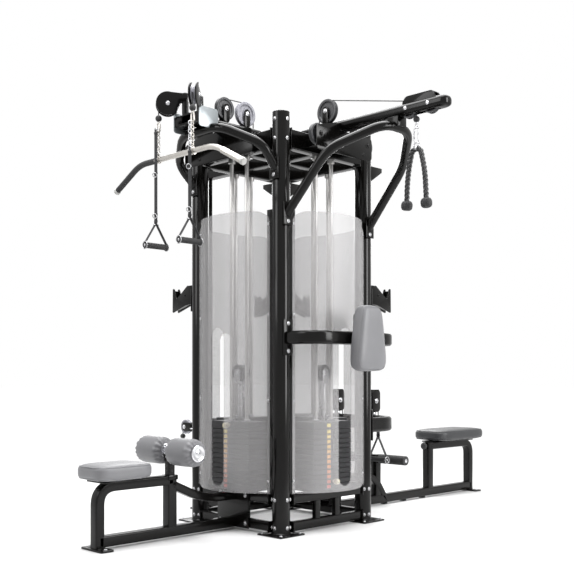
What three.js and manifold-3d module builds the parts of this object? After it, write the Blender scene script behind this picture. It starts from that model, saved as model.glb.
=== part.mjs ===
// Multi station home gym: a square tower of four round posts with a weight stack behind a curved
// shroud on each side. Each side serves one station: an overhead pulldown with a seat, a pushdown
// boom with a back pad, a seated row with a bench, and a column with a pulley that slides up and down.
// Millimetres, +Z up. Each station is drawn facing -Y and turned to its own side of the tower.
import * as THREE from 'three';
import { mergeVertices } from 'three/addons/utils/BufferGeometryUtils.js';
import Module from 'manifold-3d';

const wasm = await Module();
wasm.setup();

// Clearances shared by all seats, and the overrun of a cut past the face that it cuts
const fit = { gap: 0.3, slide: 1, overrun: 20, weld: 3 };

// Posts of the tower and their feet
const post = {
  spacing: 656,
  radius: 47,
  height: 2200,
  foot_width: 180,
  foot_thick: 8,
  cap_height: 7,
  sides: 20,
};
const half = post.spacing / 2;
const post_face = half + post.radius + fit.gap;

// Hooks and gussets that are bolted to the posts on the far sides
const hook = { bottom: 1195, plate_height: 130, plate_width: 56, plate_thick: 8, width: 44, thick: 12 };
hook.reach = 182;
hook.tip_rise = 140;
hook.arm_rise = 40;
hook.bend = 36;
const gusset = { drop: 270, height: 104, reach: 120, thick: 8, nose: 24 };
gusset.bottom = post.height - gusset.drop;

// Ladder frames between the feet of the posts
const ladder = { centre: 345, depth: 40, low: 15, low_top: 64, high: 160, high_top: 211, edge: 5 };
ladder.stile_at = 78;
ladder.stile_width = 40;
ladder.flange_thick = 8;
ladder.flange_depth = 60;
ladder.flange_lip = 5;
ladder.face = ladder.centre + ladder.depth / 2;

// Shrouds: curved sheets with a slot for the selector pin
const shroud = { bottom: 213, top_drop: 512, apex: 485, half_chord: 267, tab: 18, thick: 4, corner: 70 };
shroud.top = post.height - shroud.top_drop;
shroud.slot_width = 100;
shroud.slot_low = 240;
shroud.slot_high = 1083;
shroud.arc_steps = 16;
const fin = { thick: 4, root: 362, overhang: 5, rise: 6 };
shroud.root = fin.root + fin.thick + fit.gap;

// Weight stacks: plates on two guide rods, with a head plate on a stem and a pulley in its yoke
const stack = { centre: 325, width: 304, depth: 140, pitch: 26.8, groove: 1.6, count: 12, head: 40 };
stack.core_inset = 8;
stack.seat_thick = 7.7;
stack.seat_overhang = 8;
stack.rod_at = 61;
stack.rod_radius = 11;
stack.rod_sides = 10;
stack.stem_radius = 10;
stack.stem_rise = 209;
stack.stem_clear = 6;
stack.floor = ladder.high_top + fit.gap + stack.seat_thick;
stack.head_low = stack.floor + stack.count * stack.pitch;
stack.head_top = stack.head_low + stack.head;
const yoke = { pulley_radius: 45, pulley_width: 22, cheek_thick: 6, cheek_width: 44, bridge: 12 };
yoke.axle_rise_share = 1.2;
yoke.axle = stack.head_top + stack.stem_rise + yoke.axle_rise_share * yoke.pulley_radius;
const pin = { radius: 5, inner: 352, collar: 9, collar_length: 14, knob_radius: 16, knob_length: 30 };
pin.knob_shoulder_share = 0.2;
pin.knob_lead = 12;
pin.knob_at = stack.centre + stack.depth / 2 + pin.knob_lead;

// Top frame: a ring of beams between the posts, with a cross
const crown = { inner: 300.5, outer: 356, drop: 83, height: 100, edge: 6, cross_half: 30, cross_inset: 20 };
crown.high = post.height - crown.drop;
crown.low = crown.high - crown.height;
crown.flange_thick = 8;
crown.flange_lip = 8;

// Booms that lie on the top frame, and the pulleys that stand on them
const boom = { rise: 14, height: 57, half_width: 39, root: 190, round: 22 };
boom.low = crown.high + boom.rise;
boom.high = boom.low + boom.height;
const cheek = { thick: 6, width: 40, gap: 3, crest: 24 };
const sheave = { width: 24, axle: 8, sides: 16, plain_sides: 12 };
sheave.groove_share = 0.84;
sheave.floor_share = 0.3;
sheave.hub_share = 0.42;
sheave.dish_share = 0.34;
const cable = { radius: 3, sides: 8, clear: 1.5, hole: 7 };

// Pulldown station above
const pulldown = { top_pulley: 282, top_radius: 67, axle_rise: 74, second_pulley: 432 };
pulldown.axle_height = boom.high + pulldown.axle_rise;
pulldown.second_radius = 61;
pulldown.reach = 690;
pulldown.head_half = 100;
pulldown.head_depth = 82;
pulldown.pivot_x = 60;
pulldown.pivot_inset = 39;
pulldown.pivot_out = pulldown.reach - pulldown.pivot_inset;
pulldown.drop_x = 140;
pulldown.drop_lead = 114;
pulldown.drop_out = pulldown.pivot_out + pulldown.drop_lead;
pulldown.pulley_radius = 52;
pulldown.pulley_rise = 62;
pulldown.pulley_height = boom.high + pulldown.pulley_rise;
pulldown.barrel_radius = 18;
pulldown.neck_rise = 18;
pulldown.neck_height = 36;
pulldown.neck_low = pulldown.pulley_height + pulldown.neck_rise;
pulldown.neck_high = pulldown.neck_low + pulldown.neck_height;
pulldown.cheek_margin = 10;
pulldown.waist_share = 0.8;
pulldown.arch_radius = 24;
pulldown.arch_drop = 21;
pulldown.arch_top = boom.low - pulldown.arch_drop;
pulldown.arch_inset = 90;
pulldown.arch_out = pulldown.reach - pulldown.arch_inset;
pulldown.arch_half = 150;
pulldown.arch_knee_x = 344;
pulldown.arch_knee_out = 470;
pulldown.arch_knee_drop = 102;
pulldown.arch_knee_z = pulldown.arch_top - pulldown.arch_knee_drop;
pulldown.arch_foot_drop = 103;
pulldown.arch_foot_z = pulldown.arch_knee_z - pulldown.arch_foot_drop;
pulldown.arch_bend = 70;
const foot_plate = { width: 64, height: 120, thick: 8 };

// Pushdown boom
const push = { top_pulley: 356, inner_pulley: 912, pulley_pitch: 136, nose: 102, pulley_radius: 45 };
push.outer_pulley = push.inner_pulley + push.pulley_pitch;
push.reach = push.outer_pulley + push.nose;
push.pulley_rise = 29;
push.pulley_height = boom.low + push.pulley_rise;
push.slot_clear = 3;
push.end_rise = 7;
push.cable_end = boom.low + push.end_rise;
push.guard_back = 27;
push.guard_front = 37;
push.guard_inner = push.inner_pulley - push.guard_back;
push.guard_outer = push.outer_pulley + push.guard_front;
push.guard_rise = 34;
push.guard_top = boom.high + push.guard_rise;
push.guard_roof = 8;
push.guard_half = 27;
push.arch_lead = 81;
push.arch_run = 197;
push.arch_out = push.inner_pulley - push.arch_lead;
push.arch_knee_x = 305;
push.arch_knee_out = push.arch_out - push.arch_run;
push.arch_half = 100;
push.arch_drop = 44;
push.arch_top = boom.low - push.arch_drop;
push.arch_knee_drop = 127;
push.arch_knee_z = push.arch_top - push.arch_knee_drop;
push.arch_foot_drop = 293;
push.arch_foot_z = push.arch_knee_z - push.arch_foot_drop;
push.arch_bend = 80;
push.saddle_half = 35;

// Fascia plates in front of the top frame
const fascia = { out: 480, thick: 5, end_height: 121, rise: 45, corner: 26 };
fascia.pulldown_half = 275;
fascia.push_half = 222;
fascia.shoulder_share = 0.2;
fascia.crown_share = 1 / 3;
fascia.pulldown_drop = 42;
fascia.pulldown_low = crown.low - fascia.pulldown_drop;
fascia.push_drop = 13;
fascia.push_low = crown.low - fascia.push_drop;
fascia.arm_x = 150;
fascia.arm_half = 14;
fascia.arm_low_share = 0.3;
fascia.arm_high_share = 0.62;
fascia.wheel_radius = 56;
fascia.wheel_width = 22;
fascia.wheel_x = 190;
fascia.wheel_z = 84;
fascia.wheel_back = 12;

// Pulldown bar, its chains and the loose handles
const link = { stop_radius: 17, stop_drop: 78, hook_drop: 22, hook_height: 54, hook_half: 15 };
link.stop_z = pulldown.pulley_height - link.stop_drop;
link.hook_high = link.stop_z - link.hook_drop;
link.hook_low = link.hook_high - link.hook_height;
link.hook_thick = 10;
link.chain_radius = 7;
link.chain_length = 141;
link.boss_radius = 5;
link.boss_rise = 9;
link.boss_z = link.hook_low + link.boss_rise;
const bar = { radius: 14, bend_x: 305, slope_run: 207, slope_fall: 110, bend: 60 };
bar.middle_z = link.hook_low - link.chain_length;
bar.end_x = bar.bend_x + bar.slope_run;
bar.end_z = bar.middle_z - bar.slope_fall;
bar.cap_radius = 18;
bar.cap_length = 14;
bar.grip_radius = 17;
bar.grip_start_share = 0.3;
const handle = { strap_rise: 7, strap_length: 500, strap_half: 13, strap_thick: 4, grip_drop: 109 };
handle.strap_top = link.boss_z + handle.strap_rise;
handle.strap_low = handle.strap_top - handle.strap_length;
handle.grip_z = handle.strap_low - handle.grip_drop;
handle.turn = 90;
handle.grip_radius = 15;
handle.grip_half = 62;
handle.cup_radius = 21;
handle.cup_length = 10;
handle.side_radius = 5;
handle.ring = 16;

// Bench of the pulldown station
const bench = { leg_lead: 100, foot_half_x: 90, foot_half_y: 36, foot_thick: 10 };
bench.rail_low = 12;
bench.rail_high = 66;
bench.tube_half = 27;
bench.edge = 7;
bench.plate_half = 125;
bench.plate_high = 205;
bench.plate_thick = 8;
bench.upright_out = 800;
bench.upright_top = 322;
bench.top_low = 276;
bench.top_high = 324;
bench.leg_width = 50;
bench.leg_bend = 90;
bench.brace_z = 182;
bench.brace_width = 44;
bench.brace_bend = 110;
bench.post_half = 19;
bench.post_clear = 24;
bench.post_low = bench.rail_high + bench.post_clear;
bench.roller_z = 446;
bench.roller_out = bench.upright_out;
bench.axle_radius = 14;
bench.axle_lip = 10;
bench.roller_radius = 70;
bench.roller_inner = 27;
bench.roller_outer = 222;
bench.axle_half = bench.roller_outer + bench.axle_lip;
bench.disc_radius = 30;
bench.seat_plate = 5;
const seat = { clear: 139, depth: 330, width: 230, thick: 82 };
seat.out = bench.upright_out + bench.tube_half + seat.clear + seat.depth / 2;
bench.foot_out = seat.out + bench.leg_lead;

// Row station: bow, swivels, handles and bench
const bow = { out: 640, low: 500, high: 586, width: 44, bend: 150, bevel: 12 };
bow.plate_low = 455;
bow.plate_high = 631;
bow.swivel_x = 146;
bow.cheek_share = 0.8;
bow.stop_share = 0.8;
bow.barrel_radius = 16;
bow.barrel_height = 26;
bow.pulley_radius = 45;
bow.pulley_z = 672;
bow.pulley_shift = 8;
bow.strap_top = 486;
bow.strap_low = 440;
bow.grip_z = 312;
const rest = { out: 844, z: 298, radius: 29, half_x: 240, axle_radius: 12, hub_half: 26, sleeve_inner: 34 };
rest.post_half = 24;
rest.head_rise = 26;
const row = { front_out: 1400, top_run: 480, seat_lead: 16, seat_length: 532, seat_width: 280 };
row.seat_thick = 80;
row.rear = row.front_out + row.top_run;
row.seat_in = row.front_out - row.seat_lead;
row.top_low = 322;
row.top_high = 371;
row.brace_end = 930;
row.brace_run = 130;
row.brace_out = row.brace_end - row.brace_run;
row.brace_z = 205;
row.brace_bend = 120;
row.foot_start = 926;
row.foot_pitches = [0, 198, 406];
row.foot_outs = row.foot_pitches.map((pitch) => row.foot_start + pitch);
row.foot_half = 16;
row.knob_radius = 22;
row.knob_length = 30;
row.rear_bend = 80;

// Pad bow and back pad of the pushdown station
const pad = { out: 571, low: 990, high: 1060, width: 40, bend: 130, bevel: 11 };
pad.plate_low = 935;
pad.plate_high = 1120;
pad.board_half = 60;
pad.board_low = 900;
pad.board_high = 1150;
pad.board_thick = 8.7;
pad.bottom = 850;
pad.height = 346;
pad.bottom_width = 248;
pad.top_width = 155;
pad.thick = 87;

// Column with the sliding pulley
const column = { out: 680, half: 35, foot_low: 15, foot_high: 64, arm_drop: 17, arm_height: 60, edge: 6 };
column.arm_high = crown.high - column.arm_drop;
column.arm_low = column.arm_high - column.arm_height;
const carriage = { z: 499, half_height: 60, wall: 20, arm_run: 130, arm_half: 17, pulley_radius: 45 };
carriage.arm_out = column.out + carriage.arm_run;
carriage.pulley_lead = 52;
carriage.pulley_out = carriage.arm_out + carriage.pulley_lead;
carriage.cheek_half = 27.2;
carriage.knob_radius = 17;
carriage.knob_length = 46;
carriage.stop_radius = 17;

// Colours of the finishes
const colours = {
  black: new THREE.MeshStandardMaterial({ color: 0x111214, roughness: 0.28, metalness: 0.15 }),
  dark: new THREE.MeshStandardMaterial({ color: 0x2a2b2d, roughness: 0.5, metalness: 0.3 }),
  chrome: new THREE.MeshStandardMaterial({ color: 0xd5d7da, roughness: 0.12, metalness: 1 }),
  nylon: new THREE.MeshStandardMaterial({ color: 0x3a3b3e, roughness: 0.45, metalness: 0 }),
  pale: new THREE.MeshStandardMaterial({ color: 0xb9bbc2, roughness: 0.4, metalness: 0 }),
  vinyl: new THREE.MeshStandardMaterial({ color: 0xb4b6bb, roughness: 0.55, metalness: 0 }),
  dark_vinyl: new THREE.MeshStandardMaterial({ color: 0x4a4c50, roughness: 0.55, metalness: 0 }),
  frosted: new THREE.MeshStandardMaterial({
    color: 0xc9ccd2, roughness: 0.4, transparent: true, opacity: 0.6,
  }),
  rubber: new THREE.MeshStandardMaterial({ color: 0x1a1a1b, roughness: 0.8, metalness: 0 }),
  cream: new THREE.MeshStandardMaterial({ color: 0xe8dfc4, roughness: 0.4, metalness: 0 }),
};

// Solids from closed geometries

function solidOf(geometry) {
  const bare = new THREE.BufferGeometry();
  bare.setAttribute('position', geometry.getAttribute('position'));
  if (geometry.index) {
    bare.setIndex(geometry.index);
  }
  const merged = mergeVertices(bare);
  const triangles = [];
  const index = merged.index.array;
  for (let i = 0; i < index.length; i += 3) {
    const [a, b, c] = [index[i], index[i + 1], index[i + 2]];
    if (a !== b && b !== c && c !== a) {
      triangles.push(a, b, c);
    }
  }
  const make = () => new wasm.Manifold(new wasm.Mesh({
    numProp: 3,
    vertProperties: Float32Array.from(merged.getAttribute('position').array),
    triVerts: Uint32Array.from(triangles),
  }));
  const solid = make();
  if (solid.volume() >= 0) {
    return solid;
  }
  for (let i = 0; i < triangles.length; i += 3) {
    [triangles[i], triangles[i + 1]] = [triangles[i + 1], triangles[i]];
  }
  return make();
}

function geometryOf(solid) {
  const { vertProperties, triVerts } = solid.getMesh();
  const geometry = new THREE.BufferGeometry();
  geometry.setAttribute('position', new THREE.BufferAttribute(Float32Array.from(vertProperties), 3));
  geometry.setIndex(new THREE.BufferAttribute(Uint32Array.from(triVerts), 1));
  geometry.computeVertexNormals();
  return geometry;
}

function join(...solids) {
  return solids.flat().reduce((whole, solid) => whole.add(solid));
}

function cut(solid, ...tools) {
  return tools.flat().reduce((left, tool) => left.subtract(tool), solid);
}

function moved(solid, x, y, z) {
  return solid.translate([x, y, z]);
}

function mirroredPair(make) {
  return [make(1), make(-1)];
}

function span([low, high]) {
  return [(low + high) / 2, high - low];
}

// A plain block between two corners
function block(xs, ys, zs) {
  const [[x, w], [y, d], [z, h]] = [span(xs), span(ys), span(zs)];
  return solidOf(new THREE.BoxGeometry(w, d, h).translate(x, y, z));
}

const planes = {
  xy: new THREE.Matrix4(),
  xz: new THREE.Matrix4().makeBasis(
    new THREE.Vector3(1, 0, 0), new THREE.Vector3(0, 0, 1), new THREE.Vector3(0, -1, 0)),
  yz: new THREE.Matrix4().makeBasis(
    new THREE.Vector3(0, 1, 0), new THREE.Vector3(0, 0, 1), new THREE.Vector3(1, 0, 0)),
};

// A flat shape made thick, in the plane named, from the middle outwards along its normal
function sheet(shape, plane, thick, at, bevel = 0, curveSegments = 1) {
  const geometry = new THREE.ExtrudeGeometry(shape, {
    depth: thick - 2 * bevel,
    bevelEnabled: bevel > 0,
    bevelSize: bevel,
    bevelThickness: bevel,
    bevelOffset: -bevel,
    bevelSegments: 2,
    curveSegments,
  });
  geometry.translate(0, 0, bevel - thick / 2);
  geometry.applyMatrix4(planes[plane]);
  geometry.translate(at.x ?? 0, at.y ?? 0, at.z ?? 0);
  return solidOf(geometry);
}

function roundedRectangle([left, right], [low, high], radius) {
  const shape = new THREE.Shape();
  shape.moveTo(left + radius, low);
  shape.lineTo(right - radius, low);
  shape.absarc(right - radius, low + radius, radius, -Math.PI / 2, 0);
  shape.lineTo(right, high - radius);
  shape.absarc(right - radius, high - radius, radius, 0, Math.PI / 2);
  shape.lineTo(left + radius, high);
  shape.absarc(left + radius, high - radius, radius, Math.PI / 2, Math.PI);
  shape.lineTo(left, low + radius);
  shape.absarc(left + radius, low + radius, radius, Math.PI, 1.5 * Math.PI);
  return shape;
}

function chamferedRectangle([left, right], [low, high], edge) {
  return new THREE.Shape([
    [left + edge, low], [right - edge, low], [right, low + edge], [right, high - edge],
    [right - edge, high], [left + edge, high], [left, high - edge], [left, low + edge],
  ].map(([x, y]) => new THREE.Vector2(x, y)));
}

// A tube of rectangular section with softened edges, along the axis named
function beam(axis, xs, ys, zs, edge) {
  const [[x], [y], [z]] = [span(xs), span(ys), span(zs)];
  const [across, up, plane] = {
    x: [ys, zs, 'yz'],
    y: [xs, zs, 'xz'],
    z: [xs, ys, 'xy'],
  }[axis];
  const along = { x: xs, y: ys, z: zs }[axis];
  const shape = chamferedRectangle(across, up, edge);
  const length = along[1] - along[0];
  const geometry = new THREE.ExtrudeGeometry(shape, { depth: length, bevelEnabled: false });
  geometry.translate(0, 0, -length / 2);
  geometry.applyMatrix4(planes[plane]);
  geometry.translate(axis === 'x' ? x : 0, axis === 'y' ? y : 0, axis === 'z' ? z : 0);
  return solidOf(geometry);
}

// A turned piece: radius and height pairs along the line from one point towards another
function turned(profile, from, towards, sides) {
  const points = profile.map(([radius, height]) => new THREE.Vector2(radius, height));
  const geometry = new THREE.LatheGeometry(points, sides);
  const start = new THREE.Vector3(...from);
  const along = new THREE.Vector3(...towards).sub(start).normalize();
  const turn = new THREE.Quaternion().setFromUnitVectors(new THREE.Vector3(0, 1, 0), along);
  geometry.applyQuaternion(turn);
  geometry.translate(start.x, start.y, start.z);
  return solidOf(geometry);
}

function rod(radius, from, to, sides = 8) {
  const length = new THREE.Vector3(...from).distanceTo(new THREE.Vector3(...to));
  return turned([[0, 0], [radius, 0], [radius, length], [0, length]], from, to, sides);
}

function ball(radius, [x, y, z]) {
  return solidOf(new THREE.SphereGeometry(radius, 8, 6).translate(x, y, z));
}

// The part of a straight leg that a bend may take up
const whole_leg_share = 0.98;

// The points of a line with rounded corners, in the plane or in space
function roundedLine(points, bends, divisions = 4) {
  const corners = points.map((point) => new THREE.Vector3(...point, ...(point.length < 3 ? [0] : [])));
  const last = corners.length - 1;
  const line = [corners[0]];
  for (let i = 1; i < last; i += 1) {
    const corner = corners[i];
    const before = line[line.length - 1].clone().sub(corner);
    const after = corners[i + 1].clone().sub(corner);
    const free_share = i === last - 1 ? whole_leg_share : whole_leg_share / 2;
    const bend = Array.isArray(bends) ? bends[i - 1] : bends;
    const reach = Math.min(bend, whole_leg_share * before.length(), free_share * after.length());
    const entry = corner.clone().add(before.setLength(reach));
    const exit = corner.clone().add(after.setLength(reach));
    line.push(...new THREE.QuadraticBezierCurve3(entry, corner, exit).getPoints(divisions));
  }
  line.push(corners[last]);
  return line;
}

// A curve that is read only at the points of a line, so that a tube has one ring at each of them
class Route extends THREE.Curve {
  constructor(line) {
    super();
    this.line = line;
  }

  at(t) {
    return Math.round(t * (this.line.length - 1));
  }

  getPointAt(t) {
    return this.line[this.at(t)].clone();
  }

  getTangentAt(t) {
    const i = this.at(t);
    const before = this.line[Math.max(i - 1, 0)];
    const after = this.line[Math.min(i + 1, this.line.length - 1)];
    return after.clone().sub(before).normalize();
  }
}

function circle(radius, sides) {
  const shape = new THREE.Shape();
  for (let i = 0; i < sides; i += 1) {
    const angle = (2 * Math.PI * i) / sides;
    const [x, y] = [radius * Math.cos(angle), radius * Math.sin(angle)];
    if (i === 0) {
      shape.moveTo(x, y);
    } else {
      shape.lineTo(x, y);
    }
  }
  return shape;
}

// A round tube bent along a line with rounded corners
function pipe(points, bends, radius, sides = 10) {
  const line = roundedLine(points, bends);
  const settings = { steps: line.length - 1, extrudePath: new Route(line) };
  return solidOf(new THREE.ExtrudeGeometry(circle(radius, sides), settings));
}

// A flat bar bent along a line in its own plane
function ribbon(points, bend, width) {
  const line = roundedLine(points, bend, 5);
  const sideOf = (side) => line.map((point, i) => {
    const before = line[Math.max(i - 1, 0)];
    const after = line[Math.min(i + 1, line.length - 1)];
    const along = after.clone().sub(before).normalize();
    const half_width = (side * width) / 2;
    return new THREE.Vector2(point.x - half_width * along.y, point.y + half_width * along.x);
  });
  return new THREE.Shape([...sideOf(1), ...sideOf(-1).reverse()]);
}

// A cushion: a box whose sides and edges are drawn in towards a swelled form
function cushion(width, depth, height, taper_share = 0, segments = [7, 7, 2]) {
  const geometry = new THREE.BoxGeometry(2, 2, 2, ...segments);
  const place = geometry.getAttribute('position');
  const power = 5;
  for (let i = 0; i < place.count; i += 1) {
    const [u, v, w] = [place.getX(i), place.getY(i), place.getZ(i)];
    const plan = (Math.abs(u) ** power + Math.abs(v) ** power + Math.abs(w) ** power) ** (1 / power);
    const narrow = 1 - (taper_share * (v + 1)) / 2;
    place.setXYZ(i, (u / plan) * narrow * width / 2, (v / plan) * depth / 2, (w / plan) * height / 2);
  }
  return solidOf(geometry);
}

// A grooved pulley on the line from one point towards another, its middle at the first. One that
// spins has a bore and a dished web, and one that sits fast in its yoke is plain
function pulley(radius, width, from, towards, bore = 0) {
  const groove = radius * sheave.groove_share;
  const hub = radius * sheave.hub_share;
  const dish = width * sheave.dish_share;
  const half_width = width / 2;
  const floor = half_width * sheave.floor_share;
  const web = bore > 0 ? [[hub, half_width], [groove, dish]] : [];
  const rim = [...web, [radius, half_width]];
  const mirrored = rim.map(([r, h]) => [r, -h]).reverse();
  const groove_edges = [[groove, floor], [groove, -floor]];
  const profile = [[bore, half_width], ...rim, ...groove_edges, ...mirrored, [bore, -half_width]];
  if (bore > 0) {
    profile.push(profile[0]);
  }
  return turned(profile.reverse(), from, towards, bore > 0 ? sheave.sides : sheave.plain_sides);
}

// The radius at which the middle of a cable lies on a pulley, where it wraps round and where it leaves
const ride = (radius) => radius * sheave.groove_share + cable.radius + cable.clear;
const leave = (radius) => radius * sheave.groove_share + cable.radius + fit.gap;

// The scene graph: one group for each side of the tower
const gym = new THREE.Group();
const sides = {};
['pulldown', 'pushdown', 'row', 'column'].forEach((name, turn) => {
  sides[name] = new THREE.Group();
  sides[name].rotation.z = [0, 1, 2, 3][turn] * (Math.PI / 2);
  gym.add(sides[name]);
});

function piece(name, solid, material, parent = gym) {
  const mesh = new THREE.Mesh(geometryOf(solid), colours[material].clone());
  mesh.name = name;
  parent.add(mesh);
}

// Posts, drawn at the corner that faces the viewer and turned to the other corners

function hookOn(face) {
  const arm = ribbon([
    [0, hook.bottom + hook.arm_rise],
    [hook.reach - hook.thick, hook.bottom + hook.thick],
    [hook.reach, hook.bottom + hook.tip_rise],
  ], hook.bend, hook.thick);
  const plate_x = [-fit.weld, hook.plate_thick];
  const plate_y = [-hook.plate_width / 2, hook.plate_width / 2];
  const plate = block(plate_x, plate_y, [hook.bottom, hook.bottom + hook.plate_height]);
  return moved(join(plate, sheet(arm, 'xz', hook.width, {})), face, 0, 0);
}

function gussetOn(face) {
  const shape = new THREE.Shape();
  shape.moveTo(-fit.weld, gusset.bottom);
  shape.lineTo(gusset.reach, gusset.bottom + gusset.height - gusset.nose);
  shape.lineTo(gusset.reach, gusset.bottom + gusset.height);
  shape.lineTo(-fit.weld, gusset.bottom + gusset.height);
  return moved(sheet(shape, 'xz', gusset.thick, {}), face, 0, 0);
}

function finSolids() {
  const low = shroud.bottom + fin.rise / 2;
  const high = shroud.top + fin.rise;
  const inner = shroud.half_chord - fin.overhang;
  const one = block([inner, half], [-fin.root - fin.thick, -fin.root], [low, high]);
  const other = block([fin.root, fin.root + fin.thick], [-half, -inner], [low, high]);
  return [one, other];
}

function postSolid(hooks) {
  const lip = post.radius - post.cap_height;
  const tube = turned([
    [0, 0], [post.radius, 0], [post.radius, post.height - post.cap_height],
    [lip, post.height], [0, post.height],
  ], [half, -half, 0], [half, -half, post.height], post.sides);
  const reach = post.foot_width / 2;
  const foot = sheet(
    roundedRectangle([half - reach, half + reach], [-half - reach, -half + reach], post.cap_height),
    'xy', post.foot_thick, { z: post.foot_thick / 2 });
  const solids = [tube, foot, ...finSolids()];
  const face = post.radius;
  hooks.forEach((turn) => {
    const turned_hook = join(hookOn(face), gussetOn(face)).rotate([0, 0, turn]);
    solids.push(moved(turned_hook, half, -half, 0));
  });
  return join(solids);
}

const corners = [
  ['post_front', 'pulldown', []],
  ['post_right', 'pushdown', [0]],
  ['post_back', 'row', [0, -90]],
  ['post_left', 'column', [-90]],
];
corners.forEach(([name, side, hooks]) => piece(name, postSolid(hooks), 'black', sides[side]));

// Ladder frames between the feet

const rail_end = half - post.radius - fit.gap;

function ladderSolid() {
  const end = rail_end - ladder.flange_thick / 2;
  const ys = [-ladder.face, ladder.depth / 2 - ladder.centre];
  const low = beam('x', [-end, end], ys, [ladder.low, ladder.low_top], ladder.edge);
  const high = beam('x', [-end, end], ys, [ladder.high, ladder.high_top], ladder.edge);
  const stiles = mirroredPair((side) => {
    const middle = side * ladder.stile_at;
    const xs = [middle - ladder.stile_width / 2, middle + ladder.stile_width / 2];
    const zs = [ladder.low_top - fit.weld, ladder.high + fit.weld];
    return block(xs, [ys[0] + ladder.edge, ys[1] - ladder.edge], zs);
  });
  const flange_y = [-ladder.centre - ladder.flange_depth / 2, -ladder.centre + ladder.flange_depth / 2];
  const flanges = mirroredPair((side) => {
    const xs = [rail_end - ladder.flange_thick, rail_end].map((x) => side * x).sort((a, b) => a - b);
    return [
      block(xs, flange_y, [ladder.low - ladder.flange_lip, ladder.low_top + ladder.flange_lip]),
      block(xs, flange_y, [ladder.high - ladder.flange_lip, ladder.high_top]),
    ];
  });
  return join(low, high, stiles, flanges.flat());
}

function columnSolid() {
  const ys = [-column.out - column.half, -column.out + column.half];
  const shaft = beam('z', [-column.half, column.half], ys, [column.foot_low, column.arm_high], column.edge);
  const foot = beam('y', [-column.half, column.half], [-column.out, -ladder.centre],
    [column.foot_low, column.foot_high], column.edge);
  const arm = beam('y', [-column.half, column.half], [-column.out, -crown.outer - fit.gap],
    [column.arm_low, column.arm_high], column.edge);
  const sole_half = bench.foot_half_x;
  const sole = block([-sole_half, sole_half], ys, [0, column.foot_low + fit.weld]);
  return join(shaft, foot, arm, sole);
}

['pulldown', 'pushdown', 'row'].forEach((side) => {
  piece(`ladder_${side}`, ladderSolid(), 'black', sides[side]);
});
piece('ladder_column', join(ladderSolid(), columnSolid()), 'black', sides.column);

// Shrouds

function shroudSolid() {
  const tab_edge = shroud.half_chord + shroud.tab;
  const sagitta = shroud.apex - shroud.root - shroud.thick;
  const radius = (shroud.half_chord ** 2 + sagitta ** 2) / (2 * sagitta);
  const centre = shroud.apex - radius;
  const swing = Math.asin(shroud.half_chord / radius);
  const outline = (offset) => {
    const line = [[-tab_edge, -shroud.root - offset]];
    for (let i = 0; i <= shroud.arc_steps; i += 1) {
      const angle = swing * ((2 * i) / shroud.arc_steps - 1);
      const reach = radius - shroud.thick + offset;
      line.push([reach * Math.sin(angle), -centre - reach * Math.cos(angle)]);
    }
    line.push([tab_edge, -shroud.root - offset]);
    return line.map(([x, y]) => new THREE.Vector2(x, y));
  };
  const plan = new THREE.Shape([...outline(shroud.thick), ...outline(0).reverse()]);
  const height = shroud.top - shroud.bottom;
  const skin = sheet(plan, 'xy', height, { z: shroud.bottom + height / 2 });
  const front = new THREE.Shape();
  front.moveTo(-tab_edge, shroud.bottom);
  front.lineTo(tab_edge, shroud.bottom);
  front.lineTo(tab_edge, shroud.top - shroud.corner);
  front.absarc(tab_edge - shroud.corner, shroud.top - shroud.corner, shroud.corner, 0, Math.PI / 2);
  front.lineTo(shroud.corner - tab_edge, shroud.top);
  front.absarc(shroud.corner - tab_edge, shroud.top - shroud.corner, shroud.corner, Math.PI / 2, Math.PI);
  const slot_radius = shroud.slot_width / 2;
  const slot_z = [shroud.slot_low, shroud.slot_high];
  const slot = roundedRectangle([-slot_radius, slot_radius], slot_z, slot_radius);
  front.holes.push(slot);
  const through = shroud.apex;
  return skin.intersect(sheet(front, 'xz', through, { y: -shroud.apex }, 0, 4));
}

// Weight stacks

function plates(low, count, rods) {
  const { width, depth, pitch, groove, core_inset } = stack;
  const xs = [-width / 2, width / 2];
  const ys = [-stack.centre - depth / 2, -stack.centre + depth / 2];
  const solids = [];
  for (let i = 0; i < count; i += 1) {
    solids.push(block(xs, ys, [low + i * pitch, low + (i + 1) * pitch - groove]));
  }
  const core_x = [xs[0] + core_inset, xs[1] - core_inset];
  const core_y = [ys[0] + core_inset, ys[1] - core_inset];
  solids.push(block(core_x, core_y, [low, low + count * pitch - groove]));
  return cut(join(solids), rods);
}

function rodLine(x, radius, low, high) {
  return rod(radius, [x, -stack.centre, low], [x, -stack.centre, high], stack.rod_sides);
}

function stackBase(resting) {
  const overhang = stack.seat_overhang;
  const seat_x = [-stack.width / 2 - overhang, stack.width / 2 + overhang];
  const seat_y = [-stack.centre - stack.depth / 2, -stack.centre + stack.depth / 2];
  const seat_low = ladder.high_top + fit.gap;
  const seat_plate = block(seat_x, seat_y, [seat_low, stack.floor]);
  const rods = mirroredPair((side) => {
    return rodLine(side * stack.rod_at, stack.rod_radius, seat_low, crown.low - fit.gap);
  });
  const bore = rodLine(0, stack.stem_radius + fit.slide, stack.floor - fit.gap, crown.low);
  const pile = plates(stack.floor - fit.gap, resting, [bore]);
  return join(seat_plate, rods, pile);
}

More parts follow.
